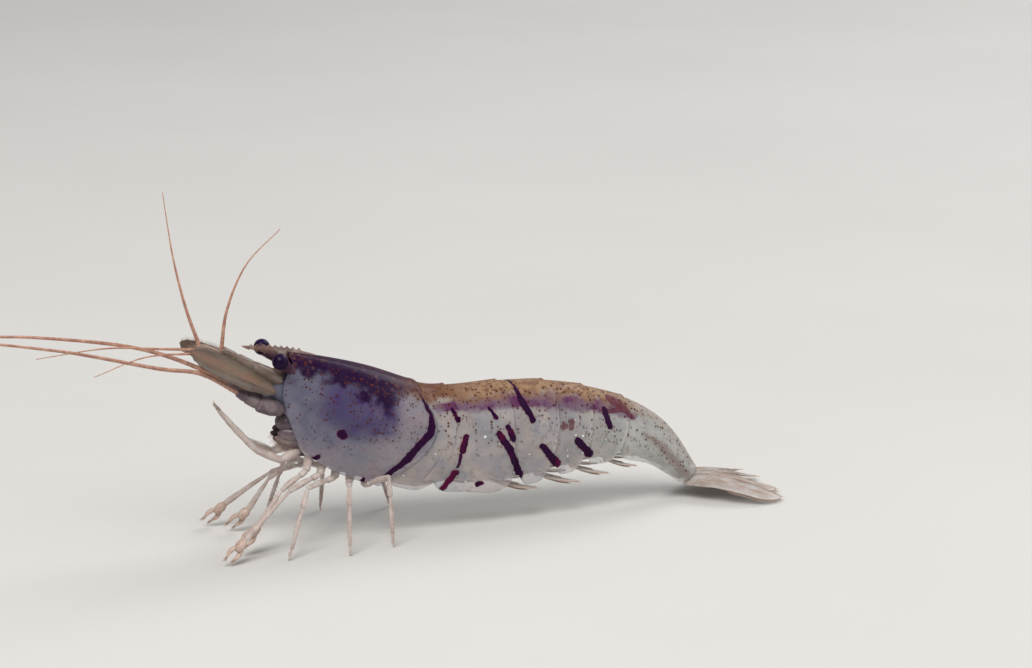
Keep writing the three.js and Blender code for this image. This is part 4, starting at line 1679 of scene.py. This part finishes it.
@dataclass
class Mouthparts(Part):
    """The bundle of jaws and flaps under the head.

    Attributes:
        middle: middle of the bundle, as distance along the spine and height over it.
        jaw: a jaw's half lengths along the spine, across and over it.
        hairs: number of hairs on a flap.
    """

    # each flap's root (back from the middle, up from it, out), its tip (the same) and its half width
    FLAPS = (
        ((0.55, 0.35, 0.74), (-1.05, -0.18, 0.5), 0.34),
        ((0.85, -0.05, 0.72), (-1.1, -0.42, 0.42), 0.3),
        ((1.05, -0.4, 0.62), (-0.95, -0.62, 0.3), 0.27),
        ((1.15, -0.62, 0.45), (-0.6, -0.74, 0.16), 0.24),
    )

    middle: tuple[float, float] = (1.4, -1.8)
    jaw: Place = (0.62, 0.34, 0.5)
    hairs: int = 14

    def build(self) -> None:
        """Makes the jaws, the flaps folded over them, and their hairs."""
        shape = Shape()
        along, rise = self.trunk.ways(0.5)
        at, height = self.middle
        for side in Side:
            y = side.value
            jaw = self.trunk.point(at - 0.45, height + 0.3, y * 0.32)
            shape.ball(jaw, self.jaw, Matrix((along, CROSSWISE, rise)).transposed(), fine=20)
            for (back, top, wide), (front, low, near), half in self.FLAPS:
                start = self.trunk.point(at + back, height + top, y * wide)
                bend = self.trunk.point(
                    at + (back + front) / 2, height + (top + low) / 2 - 0.16, y * (wide + 0.08))
                end = self.trunk.point(at + front, height + low, y * near)
                path = Sweep([start, bend, end])
                blade = through(((0.0, half * 0.7), (0.35, half), (0.75, half * 0.8), (1.0, half * 0.4)))
                shape.rod(path.at, blade, lambda s, blade=blade: 0.3 * blade(s), rise, rings=18, sides=12,
                          ends=(0.1, 0.14))
                for i in range(self.hairs):
                    s = mix(0.45, 1.0, i / self.hairs)
                    foot = path.at(s) - rise * blade(s) * 0.9
                    hair = CROSSWISE * y * self.shop.chance.uniform(-0.06, 0.04) - rise * 0.2 - along * 0.16
                    shape.bristle(foot, foot + hair, 0.012)
        self.shop.finish("mouthparts_flaps", shape, Slot.MOUTHPARTS, MOUTH, BRISTLE)


def lash(start: Vector, side: Side, offsets: Sequence[Place], root: float, tip: float,
         link: float = 0.25) -> Shape:
    """Makes a long thin feeler of many short rings, with a fine groove between them.

    Args:
        start: where it leaves its stem.
        side: its side.
        offsets: where it runs from there: ahead, outwards and up.
        root: its radius at the root.
        tip: its radius at the tip.
        link: length of a ring.

    Returns:
        Its mesh.
    """
    path = Sweep([start] + [start + Vector((-ahead, side.value * out, up)) for ahead, out, up in offsets])
    links = max(int(path.length / link), 10)

    def radius(s: float) -> float:
        """Thick at the root, fine at the tip, and a little wider at the end of each ring."""
        return mix(tip, root, (1 - s) ** 1.4) * (1 + 0.1 * ((s * links) % 1.0) * (1 - s))

    shape = Shape()
    shape.rod(path.at, radius, radius, CROSSWISE, rings=links * 4, sides=9, ends=(0.002, 0.01))
    return shape


@dataclass
class Antennule(PairedPart):
    """A first feeler: a three-jointed stem with an upper and a lower lash.

    Attributes:
        root: the place of the stem's root.
        joints: the stem's radii, by share of its length.
        hairs: number of hairs on both edges of the stem.
    """

    ENDS = {Side.LEFT: (-3.55, 1.45, 0.46), Side.RIGHT: (-4.35, 1.2, 0.46)}
    UPPER = {
        Side.LEFT: ((-0.25, 0.25, 1.95), (-1.1, 0.9, 4.3), (-2.6, 1.7, 6.1)),
        Side.RIGHT: ((0.5, 0.5, 1.8), (0.95, 0.95, 4.2), (1.25, 1.55, 7.4)),
    }
    LOWER = {
        Side.LEFT: ((1.6, 0.45, 0.25), (4.1, 1.5, 0.55), (6.9, 3.0, 0.2)),
        Side.RIGHT: ((1.9, 0.45, 0.1), (4.2, 1.2, 0.15), (7.4, 3.2, -0.6)),
    }

    root: Place = (-0.15, 0.55, 0.42)
    joints: Rows = (
        (0.0, 0.38), (0.2, 0.4), (0.42, 0.36), (0.475, 0.25), (0.52, 0.31), (0.7, 0.3), (0.745, 0.22),
        (0.79, 0.27), (0.95, 0.26), (1.0, 0.2))
    hairs: int = 46

    def build(self) -> None:
        """Makes the stem and both lashes."""
        y = self.side.value
        root, end = self.at(self.root), self.at(self.ENDS[self.side])
        way = (end - root).normalized()
        stem = Shape()
        waist = through(self.joints)
        stem.rod(lambda s: root.lerp(end, s), lambda s: 0.86 * waist(s), waist, UPRIGHT, rings=64, sides=20,
                 ends=(0.06, 0.04))
        outwards = CROSSWISE * y
        thorn_root = root + outwards * 0.3 + UPRIGHT * 0.02
        thorn = Sweep([thorn_root, thorn_root.lerp(end, 0.2) + outwards * 0.13,
                       thorn_root.lerp(end, 0.42) + outwards * 0.06])
        stem.rod(thorn.at, through(((0.0, 0.1), (0.5, 0.08), (1.0, 0.012))), taper(0.09, 0.012), UPRIGHT,
                 rings=16, sides=10)
        for i in range(self.hairs):
            s = 0.08 + 0.9 * (i // 2) / (self.hairs // 2)
            edge = -outwards if i % 2 else outwards
            foot = root.lerp(end, s) + edge * waist(s) * 0.8 + UPRIGHT * 0.05
            hair = edge * 0.2 + way * 0.2 + UPRIGHT * self.shop.chance.uniform(-0.05, 0.1)
            stem.bristle(foot, foot + hair, 0.011)
        self.finish("antennule_stem", "skin", stem, Slot.FEELER_STEM, FEELER_STEM, BRISTLE)
        lashes = {
            "upper": (end - way * 0.05, self.UPPER, 0.1),
            "lower": (end + outwards * 0.1 - UPRIGHT * 0.15 - way * 0.1, self.LOWER, 0.08),
        }
        for name, (start, ways, radius) in lashes.items():
            made = lash(start, self.side, ways[self.side], radius, 0.02)
            self.finish(f"antennule_{name}", "lash", made, Slot.FEELER, FEELER)


@dataclass
class Antenna(PairedPart):
    """A second feeler: a stout stem, the scale over it, and the long feeler.

    Attributes:
        stem: the places of the stem's root, bend and end.
        scale_root: the scale's root.
        scale_tip: its tip.
        tilt: how steeply the scale stands, in degrees.
        half: the scale's half widths, by share of its length.
        hairs: number of hairs on its inner edge and its tip.
    """

    # where each joint of the stem starts and ends, as shares of its length, and the joint's radii
    JOINTS = (
        (0.0, 0.5, (0.34, 0.42, 0.4)),
        (0.46, 0.78, (0.28, 0.3, 0.29)),
        (0.75, 1.0, (0.22, 0.25, 0.2)),
    )

    LONG = {
        Side.LEFT: ((1.87, 0.2, 1.2), (4.05, 1.05, 1.86), (9.5, 2.5, 3.6), (15.0, 4.9, 4.9), (19.0, 8.1, 4.6),
                    (21.4, 11.4, 3.2)),
        Side.RIGHT: ((1.87, 0.2, 1.1), (4.2, 1.1, 1.9), (9.0, 2.2, 2.6), (14.0, 4.4, 2.6), (17.8, 7.6, 3.1),
                     (20.2, 11.4, 4.4)),
    }

    stem: tuple[Place, Place, Place] = ((0.1, -0.8, 0.7), (-0.9, -0.74, 0.85), (-2.3, -0.36, 0.95))
    scale_root: Place = (-0.45, 0.05, 1.0)
    scale_tip: Place = (-5.1, 1.12, 1.12)
    tilt: float = 56.0
    half: Rows = (
        (0.0, 0.2), (0.12, 0.44), (0.35, 0.66), (0.65, 0.68), (0.85, 0.56), (0.95, 0.36), (1.0, 0.12))
    hairs: int = 90

    def build(self) -> None:
        """Makes the stem, the scale and the long feeler."""
        outwards = CROSSWISE * self.side.value
        root, bend, end = (self.at(place) for place in self.stem)
        heading = (end - bend).normalized()
        stem = Shape()
        whole = Sweep([root, bend, end])
        for near, far, radii in self.JOINTS:
            segment(stem, whole.at(near), whole.at(far), radii, UPRIGHT, flat=0.9)
        tooth = bend + outwards * 0.42
        stem.bristle(tooth, tooth + heading * 0.34 + outwards * 0.05, 0.06, 0)
        self.finish("antenna_stem", "skin", stem, Slot.FEELER_STEM, MOUTH)
        self._scale()
        made = lash(end - heading * 0.12, self.side, self.LONG[self.side], 0.115, 0.028, link=0.3)
        self.finish("antenna", "lash", made, Slot.FEELER, FEELER)

    def _scale(self) -> None:
        """Makes the leaf-like scale with its spine and its fringe."""
        root, tip, y = self.at(self.scale_root), self.at(self.scale_tip), self.side.value
        tilt = math.radians(self.tilt)
        across = Vector((0.0, y * math.cos(tilt), -math.sin(tilt)))
        half = through(self.half)
        shape = Shape()
        path = Sweep([root, root.lerp(tip, 0.5) + UPRIGHT * 0.05, tip])
        shape.rod(path.at, half, lambda s: mix(0.09, 0.04, s), across, rings=60, sides=28, ends=(0.05, 0.0))
        way = (tip - root).normalized()
        flat = (across - way * across.dot(way)).normalized()
        rib = Sweep([path.at(0.02) + flat * 0.1, path.at(0.5) + flat * 0.22, path.at(0.86) + flat * 0.34])
        shape.rod(rib.at, taper(0.1, 0.035), taper(0.13, 0.05), across, rings=30, sides=10)
        spine = path.at(0.84) + flat * 0.5
        shape.bristle(spine, spine + way * 0.42 + flat * 0.04, 0.05, 0)
        for i in range(self.hairs):
            s = mix(0.2, 1.0, i / self.hairs)
            foot = path.at(s) - flat * half(s) * 0.96
            spread = clamp((s - 0.8) / 0.2)
            hair = (way * mix(0.3, 1.0, spread) - flat * mix(1.0, 0.35, spread)).normalized()
            shape.bristle(foot, foot + hair * self.shop.chance.uniform(0.22, 0.36), 0.012)
        self.finish("antennal_scale", "blade", shape, Slot.ANTENNAL_SCALE, SCALE, BRISTLE)


# ---- Limbs ----


def segment(shape: Shape, a: Vector, b: Vector, radii: Place, across: Vector, flat: float = 0.85,
            bow: Vector | None = None) -> Sweep:
    """Adds one segment of a jointed limb.

    Args:
        shape: the mesh under way.
        a: its near joint.
        b: its far joint.
        radii: half widths at the near joint, the middle and the far joint.
        across: the way in which it is wide.
        flat: its thickness as a share of its width.
        bow: how far its middle is moved.

    Returns:
        The segment's middle line.
    """
    near, middle, far = radii
    way = (b - a).normalized()
    path = Sweep([a - way * 0.5 * near, (a + b) / 2 + (bow or Vector()), b + way * 0.35 * far], samples=60)
    width = through(((0.0, 0.86 * near), (0.45, middle), (0.9, far), (1.0, 0.86 * far)))
    ends = (min(0.6 * near / path.length, 0.3), min(0.6 * far / path.length, 0.3))
    rings = max(10, min(32, int(path.length / 0.08)))
    shape.rod(path.at, width, lambda s: flat * width(s), across, rings=rings, sides=14, ends=ends)
    return path


@dataclass
class Leg(PairedPart):
    """A jointed leg from the hip under the trunk over the knee to its end.

    Attributes:
        number: its place in the row, from 1.
        hip: the hip's distance along the spine.
        thigh: length from the root to the knee.
        shin: length from the knee to the end.
        end: the wrist of a claw leg or the sole of a walking leg, before the part's own offset.
        clawed: whether it ends at a claw.
    """

    # half widths of each segment at its near joint, its middle and its far joint
    HIP = (0.3, 0.27, 0.22)
    ISCHIUM = (0.16, 0.18, 0.18)
    THIGH = (0.13, 0.18, 0.15)
    FOREARM = (0.1, 0.14, 0.19)
    PALM = (0.13, 0.27, 0.24)
    FINGER = (0.15, 0.16, 0.1)
    WRIST = (0.1, 0.13, 0.15)
    SHIN = (0.1, 0.12, 0.1)
    TOE = (0.075, 0.07, 0.035)

    number: int
    hip: float
    thigh: float
    shin: float
    end: Place
    clawed: bool = False

    def _knee(self, root: Vector, end: Vector) -> Vector:
        """The knee, which stands over the line from root to end.

        Args:
            root: the leg's root.
            end: its wrist or sole.

        Returns:
            The knee's place.
        """
        line = end - root
        reach = min(line.length, 0.98 * (self.thigh + self.shin))
        forward = (self.thigh ** 2 - self.shin ** 2 + reach ** 2) / (2 * reach)
        heading = line.normalized()
        rise = (UPRIGHT - heading * UPRIGHT.dot(heading)).normalized()
        return root + heading * forward + rise * math.sqrt(self.thigh ** 2 - forward ** 2)

    def build(self) -> None:
        """Makes the leg, and its claw where it has one."""
        hip, root = self.at((self.hip, -2.2, 0.6)), self.at((self.hip, -3.4, 1.02))
        end = Vector(self.end)
        knee = self._knee(root, end)
        square = (knee - root).cross(end - knee).normalized()
        shape = Shape()
        segment(shape, hip, root, self.HIP, square)
        ischium = root.lerp(knee, 0.26)
        segment(shape, root, ischium, self.ISCHIUM, square)
        segment(shape, ischium, knee, self.THIGH, square, bow=UPRIGHT * 0.03)
        if self.clawed:
            segment(shape, knee, end, self.FOREARM, square, bow=UPRIGHT * 0.03)
        else:
            self._shin(shape, knee, end, square)
        self.finish(f"leg_{self.number}", "limb", shape, Slot.LEG, LIMB, BRISTLE)
        if self.clawed:
            self._claw(end)

    def _shin(self, shape: Shape, knee: Vector, end: Vector, square: Vector) -> None:
        """Adds the wrist, the long shin with its spines, and the toe.

        Args:
            shape: the leg's mesh.
            knee: the knee.
            end: the sole.
            square: the way across the leg.
        """
        sole = Vector((end.x, end.y, 0.03))
        wrist = knee.lerp(sole, 0.27)
        ankle = knee.lerp(sole, 0.84)
        segment(shape, knee, wrist, self.WRIST, square)
        segment(shape, wrist, ankle, self.SHIN, square, bow=UPRIGHT * 0.04)
        heading = (sole - ankle).normalized()
        back = heading.cross(square).normalized()
        if back.x < 0:
            back = -back
        segment(shape, ankle, sole, self.TOE, square, bow=-back * 0.05)
        for i in range(7):
            foot = wrist.lerp(ankle, 0.2 + 0.12 * i) + back * 0.1
            shape.bristle(foot, foot + (heading + back * 0.9).normalized() * 0.17, 0.022)
        for i in range(4):
            foot = ankle.lerp(sole, 0.15 + 0.2 * i) + back * 0.06
            shape.bristle(foot, foot + (heading + back).normalized() * 0.12, 0.018)
        for i in range(14):
            foot = knee.lerp(ankle, (i + 0.5) / 14)
            spread = square * self.shop.chance.uniform(-1, 1) - back * self.shop.chance.uniform(0.2, 1)
            shape.bristle(foot, foot + (spread.normalized() + heading * 0.7) * 0.26, 0.009)

    def _claw(self, wrist: Vector) -> None:
        """Makes the claw: a palm and two spoon-like fingers with brushes.

        Args:
            wrist: where it starts.
        """
        y = self.side.value
        droop = Vector((-0.8, 0.25 * y, -0.75)).normalized()
        start = wrist - droop * 0.06
        middle = wrist + droop * 0.64
        tip = wrist + droop * 1.16
        gape = Vector((-0.17, 0.0, 0.102))
        shape = Shape()
        segment(shape, start, middle, self.PALM, CROSSWISE, flat=0.9)
        for apart in (gape, -gape):
            near = middle + apart * 0.75 - droop * 0.12
            path = segment(shape, near, tip + apart * 0.9, self.FINGER, CROSSWISE, 0.7, apart * 0.45)
            for i in range(26):
                foot = path.at(self.shop.chance.uniform(0.8, 0.98))
                spray = Vector([self.shop.chance.uniform(-1, 1) for _ in range(3)]) * 0.11
                shape.bristle(foot, foot + droop * self.shop.chance.uniform(0.18, 0.34) + spray, 0.011)
        self.finish(f"claw_{self.number}", "pincer", shape, Slot.CLAW, CLAW, BRISTLE)


@dataclass
class Maxilliped(PairedPart):
    """A slim feeding leg folded forward under the head.

    Attributes:
        stations: its joints, each a place and a radius.
        hairs: number of hairs on each of its last segments.
    """

    stations: tuple[tuple[float, float, float, float], ...] = (
        (1.6, -2.6, 0.62, 0.3), (0.8, -3.2, 0.85, 0.24), (-0.6, -2.95, 0.95, 0.2), (-1.8, -2.2, 0.85, 0.17),
        (-2.8, -1.45, 0.68, 0.09))
    hairs: int = 26

    def build(self) -> None:
        """Makes the limb and its brush."""
        shape = Shape()
        joints = [(self.at(station), station[3]) for station in self.stations]
        for (a, ra), (b, rb) in zip(joints, joints[1:]):
            segment(shape, a, b, (ra * 0.95, (ra + rb) * 0.54, rb * 0.95), CROSSWISE)
        inward = -self.side.value * CROSSWISE
        for (a, _), (b, _) in zip(joints[1:], joints[2:]):
            heading = (b - a).normalized()
            for i in range(self.hairs):
                foot = a.lerp(b, (i + 0.5) / self.hairs)
                hair = inward * 0.5 + UPRIGHT * self.shop.chance.uniform(0.2, 1.0) + heading * 0.6
                shape.bristle(foot, foot + hair.normalized() * self.shop.chance.uniform(0.25, 0.4), 0.011)
        self.finish("maxilliped", "limb", shape, Slot.MOUTHPARTS, LIMB, BRISTLE)


@dataclass
class Swimmeret(PairedPart):
    """A swimming leg: a flat stem with two fringed blades swept back.

    Attributes:
        number: its place in the row, from 1.
        out: the root's distance from the middle, for the largest.
        sink: the root's depth under the spine, as a share of the trunk's.
        stem: the way from the root to the fork: back, outwards and up.
        outer: the way from there to the outer blade's tip.
        inner: the same of the inner blade.
        hairs: number of hairs on each edge of a blade.
    """

    SIZES = (0.8, 1.0, 0.95, 0.82, 0.68)
    BLADE = ((0.0, 0.3), (0.35, 1.0), (0.7, 0.8), (0.92, 0.4), (1.0, 0.16))

    number: int
    out: float = 0.55
    sink: float = 0.52
    stem: Place = (0.75, 0.12, -1.2)
    outer: Place = (2.2, 0.4, -0.5)
    inner: Place = (1.8, -0.2, -0.7)
    hairs: int = 16

    def build(self) -> None:
        """Makes the limb."""
        y, size = self.side.value, self.SIZES[self.number - 1]
        before = SOMITE_EDGES[self.number - 2].end if self.number > 1 else CARAPACE_EDGE.end
        at = mix(before, SOMITE_EDGES[self.number - 1].end, 0.62)

        def offset(way: Place) -> Vector:
            """A way from the root, to this limb's size."""
            return Vector((way[0], y * way[1], way[2])) * size

        root = self.at((at, -self.sink * self.trunk.value("down", at), self.out * math.sqrt(size)))
        fork = root + offset(self.stem)
        shape = Shape()
        blade = through(self.BLADE)
        segment(shape, root, fork, (0.26 * size, 0.36 * size, 0.28 * size), CROSSWISE, flat=0.6)
        for way, half in ((self.outer, 0.36), (self.inner, 0.26)):
            tip = fork + offset(way)
            near = fork - (tip - fork).normalized() * 0.1
            path = Sweep([near, near.lerp(tip, 0.5) - UPRIGHT * 0.08 * size, tip])
            reach = half * size
            shape.rod(path.at, lambda s, reach=reach: reach * blade(s),
                      lambda s: 0.07 * size * (1 - 0.5 * s), CROSSWISE, rings=26, sides=18, ends=(0.06, 0.02))
            heading = (tip - near).normalized()
            for edge in (-1, 1):
                for i in range(self.hairs):
                    s = mix(0.3, 1.0, i / self.hairs)
                    foot = path.at(s) + CROSSWISE * edge * reach * blade(s) * 0.95
                    hair = (heading + CROSSWISE * edge * mix(0.7, 0.15, s)).normalized()
                    shape.bristle(foot, foot + hair * 0.34 * size, 0.012)
        self.finish(f"swimmeret_{self.number}", "limb", shape, Slot.SWIMMERET, SWIMMERET, BRISTLE)


@dataclass(frozen=True)
class FanPart:
    """One blade of the tail fan.

    Attributes:
        node: the node that it stands for, without its side.
        root: the root's place behind the tail stalk: back, outwards and up.
        tip: the tip's place on the floor, before the part's own offset.
        halves: half widths from root to tip.
        roll: how far it leans outwards, in degrees.
    """

    node: str
    root: Place
    tip: tuple[float, float]
    halves: tuple[float, ...]
    roll: float


@dataclass
class TailFan(Part):
    """The telson and the four side blades, tips resting on the floor.

    Attributes:
        height: height of the tips' middle lines.
        lift: how far the blades arch.
        thick: half thickness at the root.
        telson: the middle blade.
        inner: the inner side blades.
        outer: the outer side blades.
        hairs: number of hairs on each edge of a blade.
        spines: number of spines on each edge of the telson.
    """

    height: float = 0.2
    lift: float = 0.5
    thick: float = 0.13
    telson: FanPart = FanPart(
        "telson", (0.12, 0.0, 0.14), (13.45, 0.0), (0.46, 0.58, 0.54, 0.42, 0.28), 0.0)
    inner: FanPart = FanPart(
        "uropod_inner", (0.1, 0.36, -0.06), (13.9, 1.3), (0.3, 0.52, 0.64, 0.58, 0.3), 8.0)
    outer: FanPart = FanPart(
        "uropod_outer", (-0.05, 0.5, -0.24), (13.5, 2.75), (0.3, 0.6, 0.78, 0.74, 0.34), 12.0)
    hairs: int = 60
    spines: int = 5

    def _blade(self, part: FanPart, side: Side | None) -> None:
        """Makes one blade.

        Args:
            part: its sizes.
            side: its side, or None for the telson.
        """
        y = side.value if side else 1
        back, out, up = part.root
        root = self.trunk.point(self.trunk.stations[-1].at, 0.0, 0.0) + Vector((back - 0.15, y * out, up))
        tip = Vector((part.tip[0], y * part.tip[1], self.height))
        roll = math.radians(part.roll)
        across = Vector((0.0, math.cos(roll), -y * math.sin(roll)))
        count = len(part.halves) - 1
        half = through([(i / count, value) for i, value in enumerate(part.halves)])

        def path(s: float) -> Vector:
            """The blade's middle line."""
            return root.lerp(tip, s) + UPRIGHT * self.lift * math.sin(math.pi * s) * (1 - s)

        def width(s: float) -> float:
            """Half width, rounded off at the tip."""
            return half(s) * math.sqrt(1 - 0.92 * ease(0.86, 1.0, s) ** 2)

        shape = Shape()
        shape.rod(path, width, lambda s: mix(self.thick, 0.045, s ** 0.6), across, rings=64, sides=28,
                  ends=(0.04, 0.01))
        way = (tip - root).normalized()
        flat = (across - way * across.dot(way)).normalized()
        over = way.cross(flat)
        over = over if over.z > 0 else -over
        for place in (0.0,) if side else (-0.34, 0.34):
            rib = Sweep([path(s) + flat * place * width(s) + over * mix(self.thick, 0.05, s ** 0.6) * 0.75
                         for s in (0.03, 0.3, 0.6, 0.88)])
            shape.rod(rib.at, taper(0.09, 0.03), taper(0.07, 0.03), across, rings=40, sides=8)
        for i in range(0 if side else self.spines):
            for edge in (-1, 1):
                s = 0.42 + 0.12 * i
                foot = path(s) + flat * edge * width(s) * 0.72 + over * 0.05
                shape.bristle(foot, foot + way * 0.15 + over * 0.06, 0.026, 0)
        for edge in (-1, 1):
            for i in range(self.hairs):
                s = mix(0.45, 1.0, i / self.hairs)
                spread = ease(0.85, 1.0, s)
                foot = path(s) + flat * edge * width(s) * 0.95
                hair = (way * mix(0.55, 1.0, spread) + flat * edge * mix(0.8, 0.25, spread)).normalized()
                length = self.shop.chance.uniform(0.24, 0.36) * (0.5 if not side and s < 0.85 else 1.0)
                end = foot + hair * length
                end.z = max(end.z, 0.02)
                shape.bristle(foot, end, 0.012)
        name = f"{part.node}_{side.label}" if side else part.node
        self.shop.finish(f"{name}_blade", shape, Slot.TAIL_FAN, FAN, BRISTLE)

    def build(self) -> None:
        """Makes the five blades."""
        self._blade(self.telson, None)
        for side in Side:
            self._blade(self.inner, side)
            self._blade(self.outer, side)


# ---- The whole animal and its stage ----


@dataclass
class Legs(Part):
    """The five pairs of legs.

    Attributes:
        pairs: hip, thigh, shin, and the left and the right end of each pair, from the front.
        clawed: how many of the pairs end at claws.
    """

    pairs: tuple[tuple[float, float, float, Place, Place], ...] = (
        (2.2, 1.6, 1.5, (-13.9, -1.75, 1.45), (-13.5, 1.7, 1.2)),
        (3.0, 2.0, 2.3, (-14.9, -2.9, 1.15), (-14.4, 2.95, 1.2)),
        (3.8, 2.2, 3.7, (-12.9, -3.4, -0.06), (-12.2, 3.6, -0.06)),
        (4.6, 2.1, 3.5, (-9.9, -3.7, -0.06), (-9.2, 3.9, -0.06)),
        (5.4, 2.1, 3.6, (-7.5, -3.1, -0.06), (-5.6, 3.4, -0.06)),
    )
    clawed: int = 2

    def build(self) -> None:
        """Makes them all."""
        for number, (hip, thigh, shin, *ends) in enumerate(self.pairs, 1):
            for side, end in zip(Side, ends):
                Leg(self.shop, side, number, hip, thigh, shin, end, number <= self.clawed).build()


@dataclass(frozen=True)
class Lamp:
    """A soft square lamp that faces the animal.

    Attributes:
        name: its name.
        at: its place, in metres.
        size: its width, in metres.
        power: its power, in watts.
        colour: its light's colour.
    """

    name: str
    at: Place
    size: float
    power: float
    colour: Place

    def hang(self) -> None:
        """Hangs it in the scene."""
        data = bpy.data.lights.new(self.name, "AREA")
        data.shape = "SQUARE"
        data.size = self.size
        data.energy = self.power
        data.color = self.colour
        lamp = stand(self.name, data)
        lamp.location = self.at
        heading = Vector((0.0, 0.0, 0.005)) - Vector(self.at)
        lamp.rotation_euler = heading.to_track_quat("-Z", "Y").to_euler()


@dataclass
class Stage:
    """The plain floor, the soft studio light and the camera.

    Attributes:
        offset: from the frame of the spine to the part's frame.
        lamps: the lamps.
        sky: the colour of the light from all round.
        sky_strength: its strength.
        floor: the two tints of the floor.
        azimuth: the camera's angle round the animal, in degrees; 0 looks along +Y.
        elevation: its angle over the horizon, in degrees.
        distance: its distance from what it looks at.
        target: what it looks at, in the frame of the spine.
        lens: its focal length.
    """

    offset: Vector
    lamps: tuple[Lamp, ...] = (
        Lamp("key_light", (-0.12, -0.16, 0.3), 0.18, 1.1, (1.0, 0.985, 0.965)),
        Lamp("fill_light", (0.25, -0.2, 0.14), 0.3, 0.3, (0.94, 0.97, 1.0)),
        Lamp("back_light", (0.26, 0.14, 0.24), 0.2, 0.55, (1.0, 1.0, 1.0)),
    )
    sky: Colour = paint(226, 226, 228)
    sky_strength: float = 0.45
    floor: tuple[Colour, Colour] = (paint(199, 197, 193), paint(207, 205, 201))
    azimuth: float = -20.0
    elevation: float = 14.0
    distance: float = 143.3
    target: Place = (0.0, 0.0, 9.4)
    lens: float = 100.0

    def _floor(self) -> None:
        """Lays a wide pale floor."""
        bm = bmesh.new()
        bmesh.ops.create_grid(bm, x_segments=2, y_segments=2, size=4.0)
        mesh = bpy.data.meshes.new("studio_floor")
        bm.to_mesh(mesh)
        bm.free()
        material = bpy.data.materials.new("studio_floor")
        material.use_nodes = True
        bench = NodeBench(material.node_tree)
        bench.tree.nodes.clear()
        shader = bench.add("ShaderNodeBsdfPrincipled", {"Roughness": 0.8})
        bench.add("ShaderNodeOutputMaterial", (shader.outputs[0],))
        where = bench.add("ShaderNodeTexCoord").outputs["Object"]
        noise = bench.add("ShaderNodeTexNoise", {"Vector": where, "Scale": 40.0, "Detail": 4.0}).outputs[0]
        bench.tree.links.new(bench.blend(noise, *self.floor), shader.inputs["Base Color"])
        mesh.materials.append(material)
        stand("studio_floor", mesh)

    def _camera(self) -> None:
        """Sets the camera."""
        a, e = math.radians(self.azimuth), math.radians(self.elevation)
        back = Vector((math.sin(a) * math.cos(e), -math.cos(a) * math.cos(e), math.sin(e)))
        data = bpy.data.cameras.new("camera")
        data.lens = self.lens
        data.clip_start = 0.001
        data.clip_end = 20.0
        camera = stand("camera", data)
        target = Vector(self.target) + self.offset
        camera.location = (target + back * self.distance) * MM
        camera.rotation_mode = "QUATERNION"
        camera.rotation_quaternion = (-back).to_track_quat("-Z", "Y")
        bpy.context.scene.camera = camera

    def build(self) -> None:
        """Sets the floor, the lights, the world and the camera."""
        self._floor()
        for lamp in self.lamps:
            lamp.hang()
        world = bpy.data.worlds.new("studio")
        world.use_nodes = True
        background = world.node_tree.nodes["Background"]
        background.inputs["Color"].default_value = self.sky
        background.inputs["Strength"].default_value = self.sky_strength
        bpy.context.scene.world = world
        bpy.context.scene.view_settings.view_transform = "Standard"
        self._camera()


def write_sizes() -> None:
    """Updates the view layer."""
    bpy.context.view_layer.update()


def main() -> None:
    """Builds the animal from the trunk outwards, then its stage."""
    logging.basicConfig(level=logging.INFO, format="%(message)s")
    shop = Workshop(Trunk())
    Flesh(shop).build()
    ShellPlate(shop, "carapace", None, CARAPACE_EDGE, Slot.HEAD_SHELL, CARAPACE_SHELL,
               columns=110, rows=128).build()
    Rostrum(shop).build()
    for number, (before, edge) in enumerate(zip((CARAPACE_EDGE, *SOMITE_EDGES), SOMITE_EDGES), 1):
        plate = ShellPlate(shop, f"somite_{number}", before, edge, Slot.SHELL, SOMITE_SHELL)
        if number == 2:
            plate.over = 0.3
        if edge is SOMITE_EDGES[-1]:
            plate.flare = 0.0
        plate.build()
    Mouthparts(shop).build()
    for side in Side:
        Eye(shop, side).build()
        Antennule(shop, side).build()
        Antenna(shop, side).build()
        Maxilliped(shop, side).build()
        for number in range(1, len(Swimmeret.SIZES) + 1):
            Swimmeret(shop, side, number).build()
    Legs(shop).build()
    TailFan(shop).build()
    Stage(shop.offset).build()
    write_sizes()


if __name__ == "__main__":
    main()
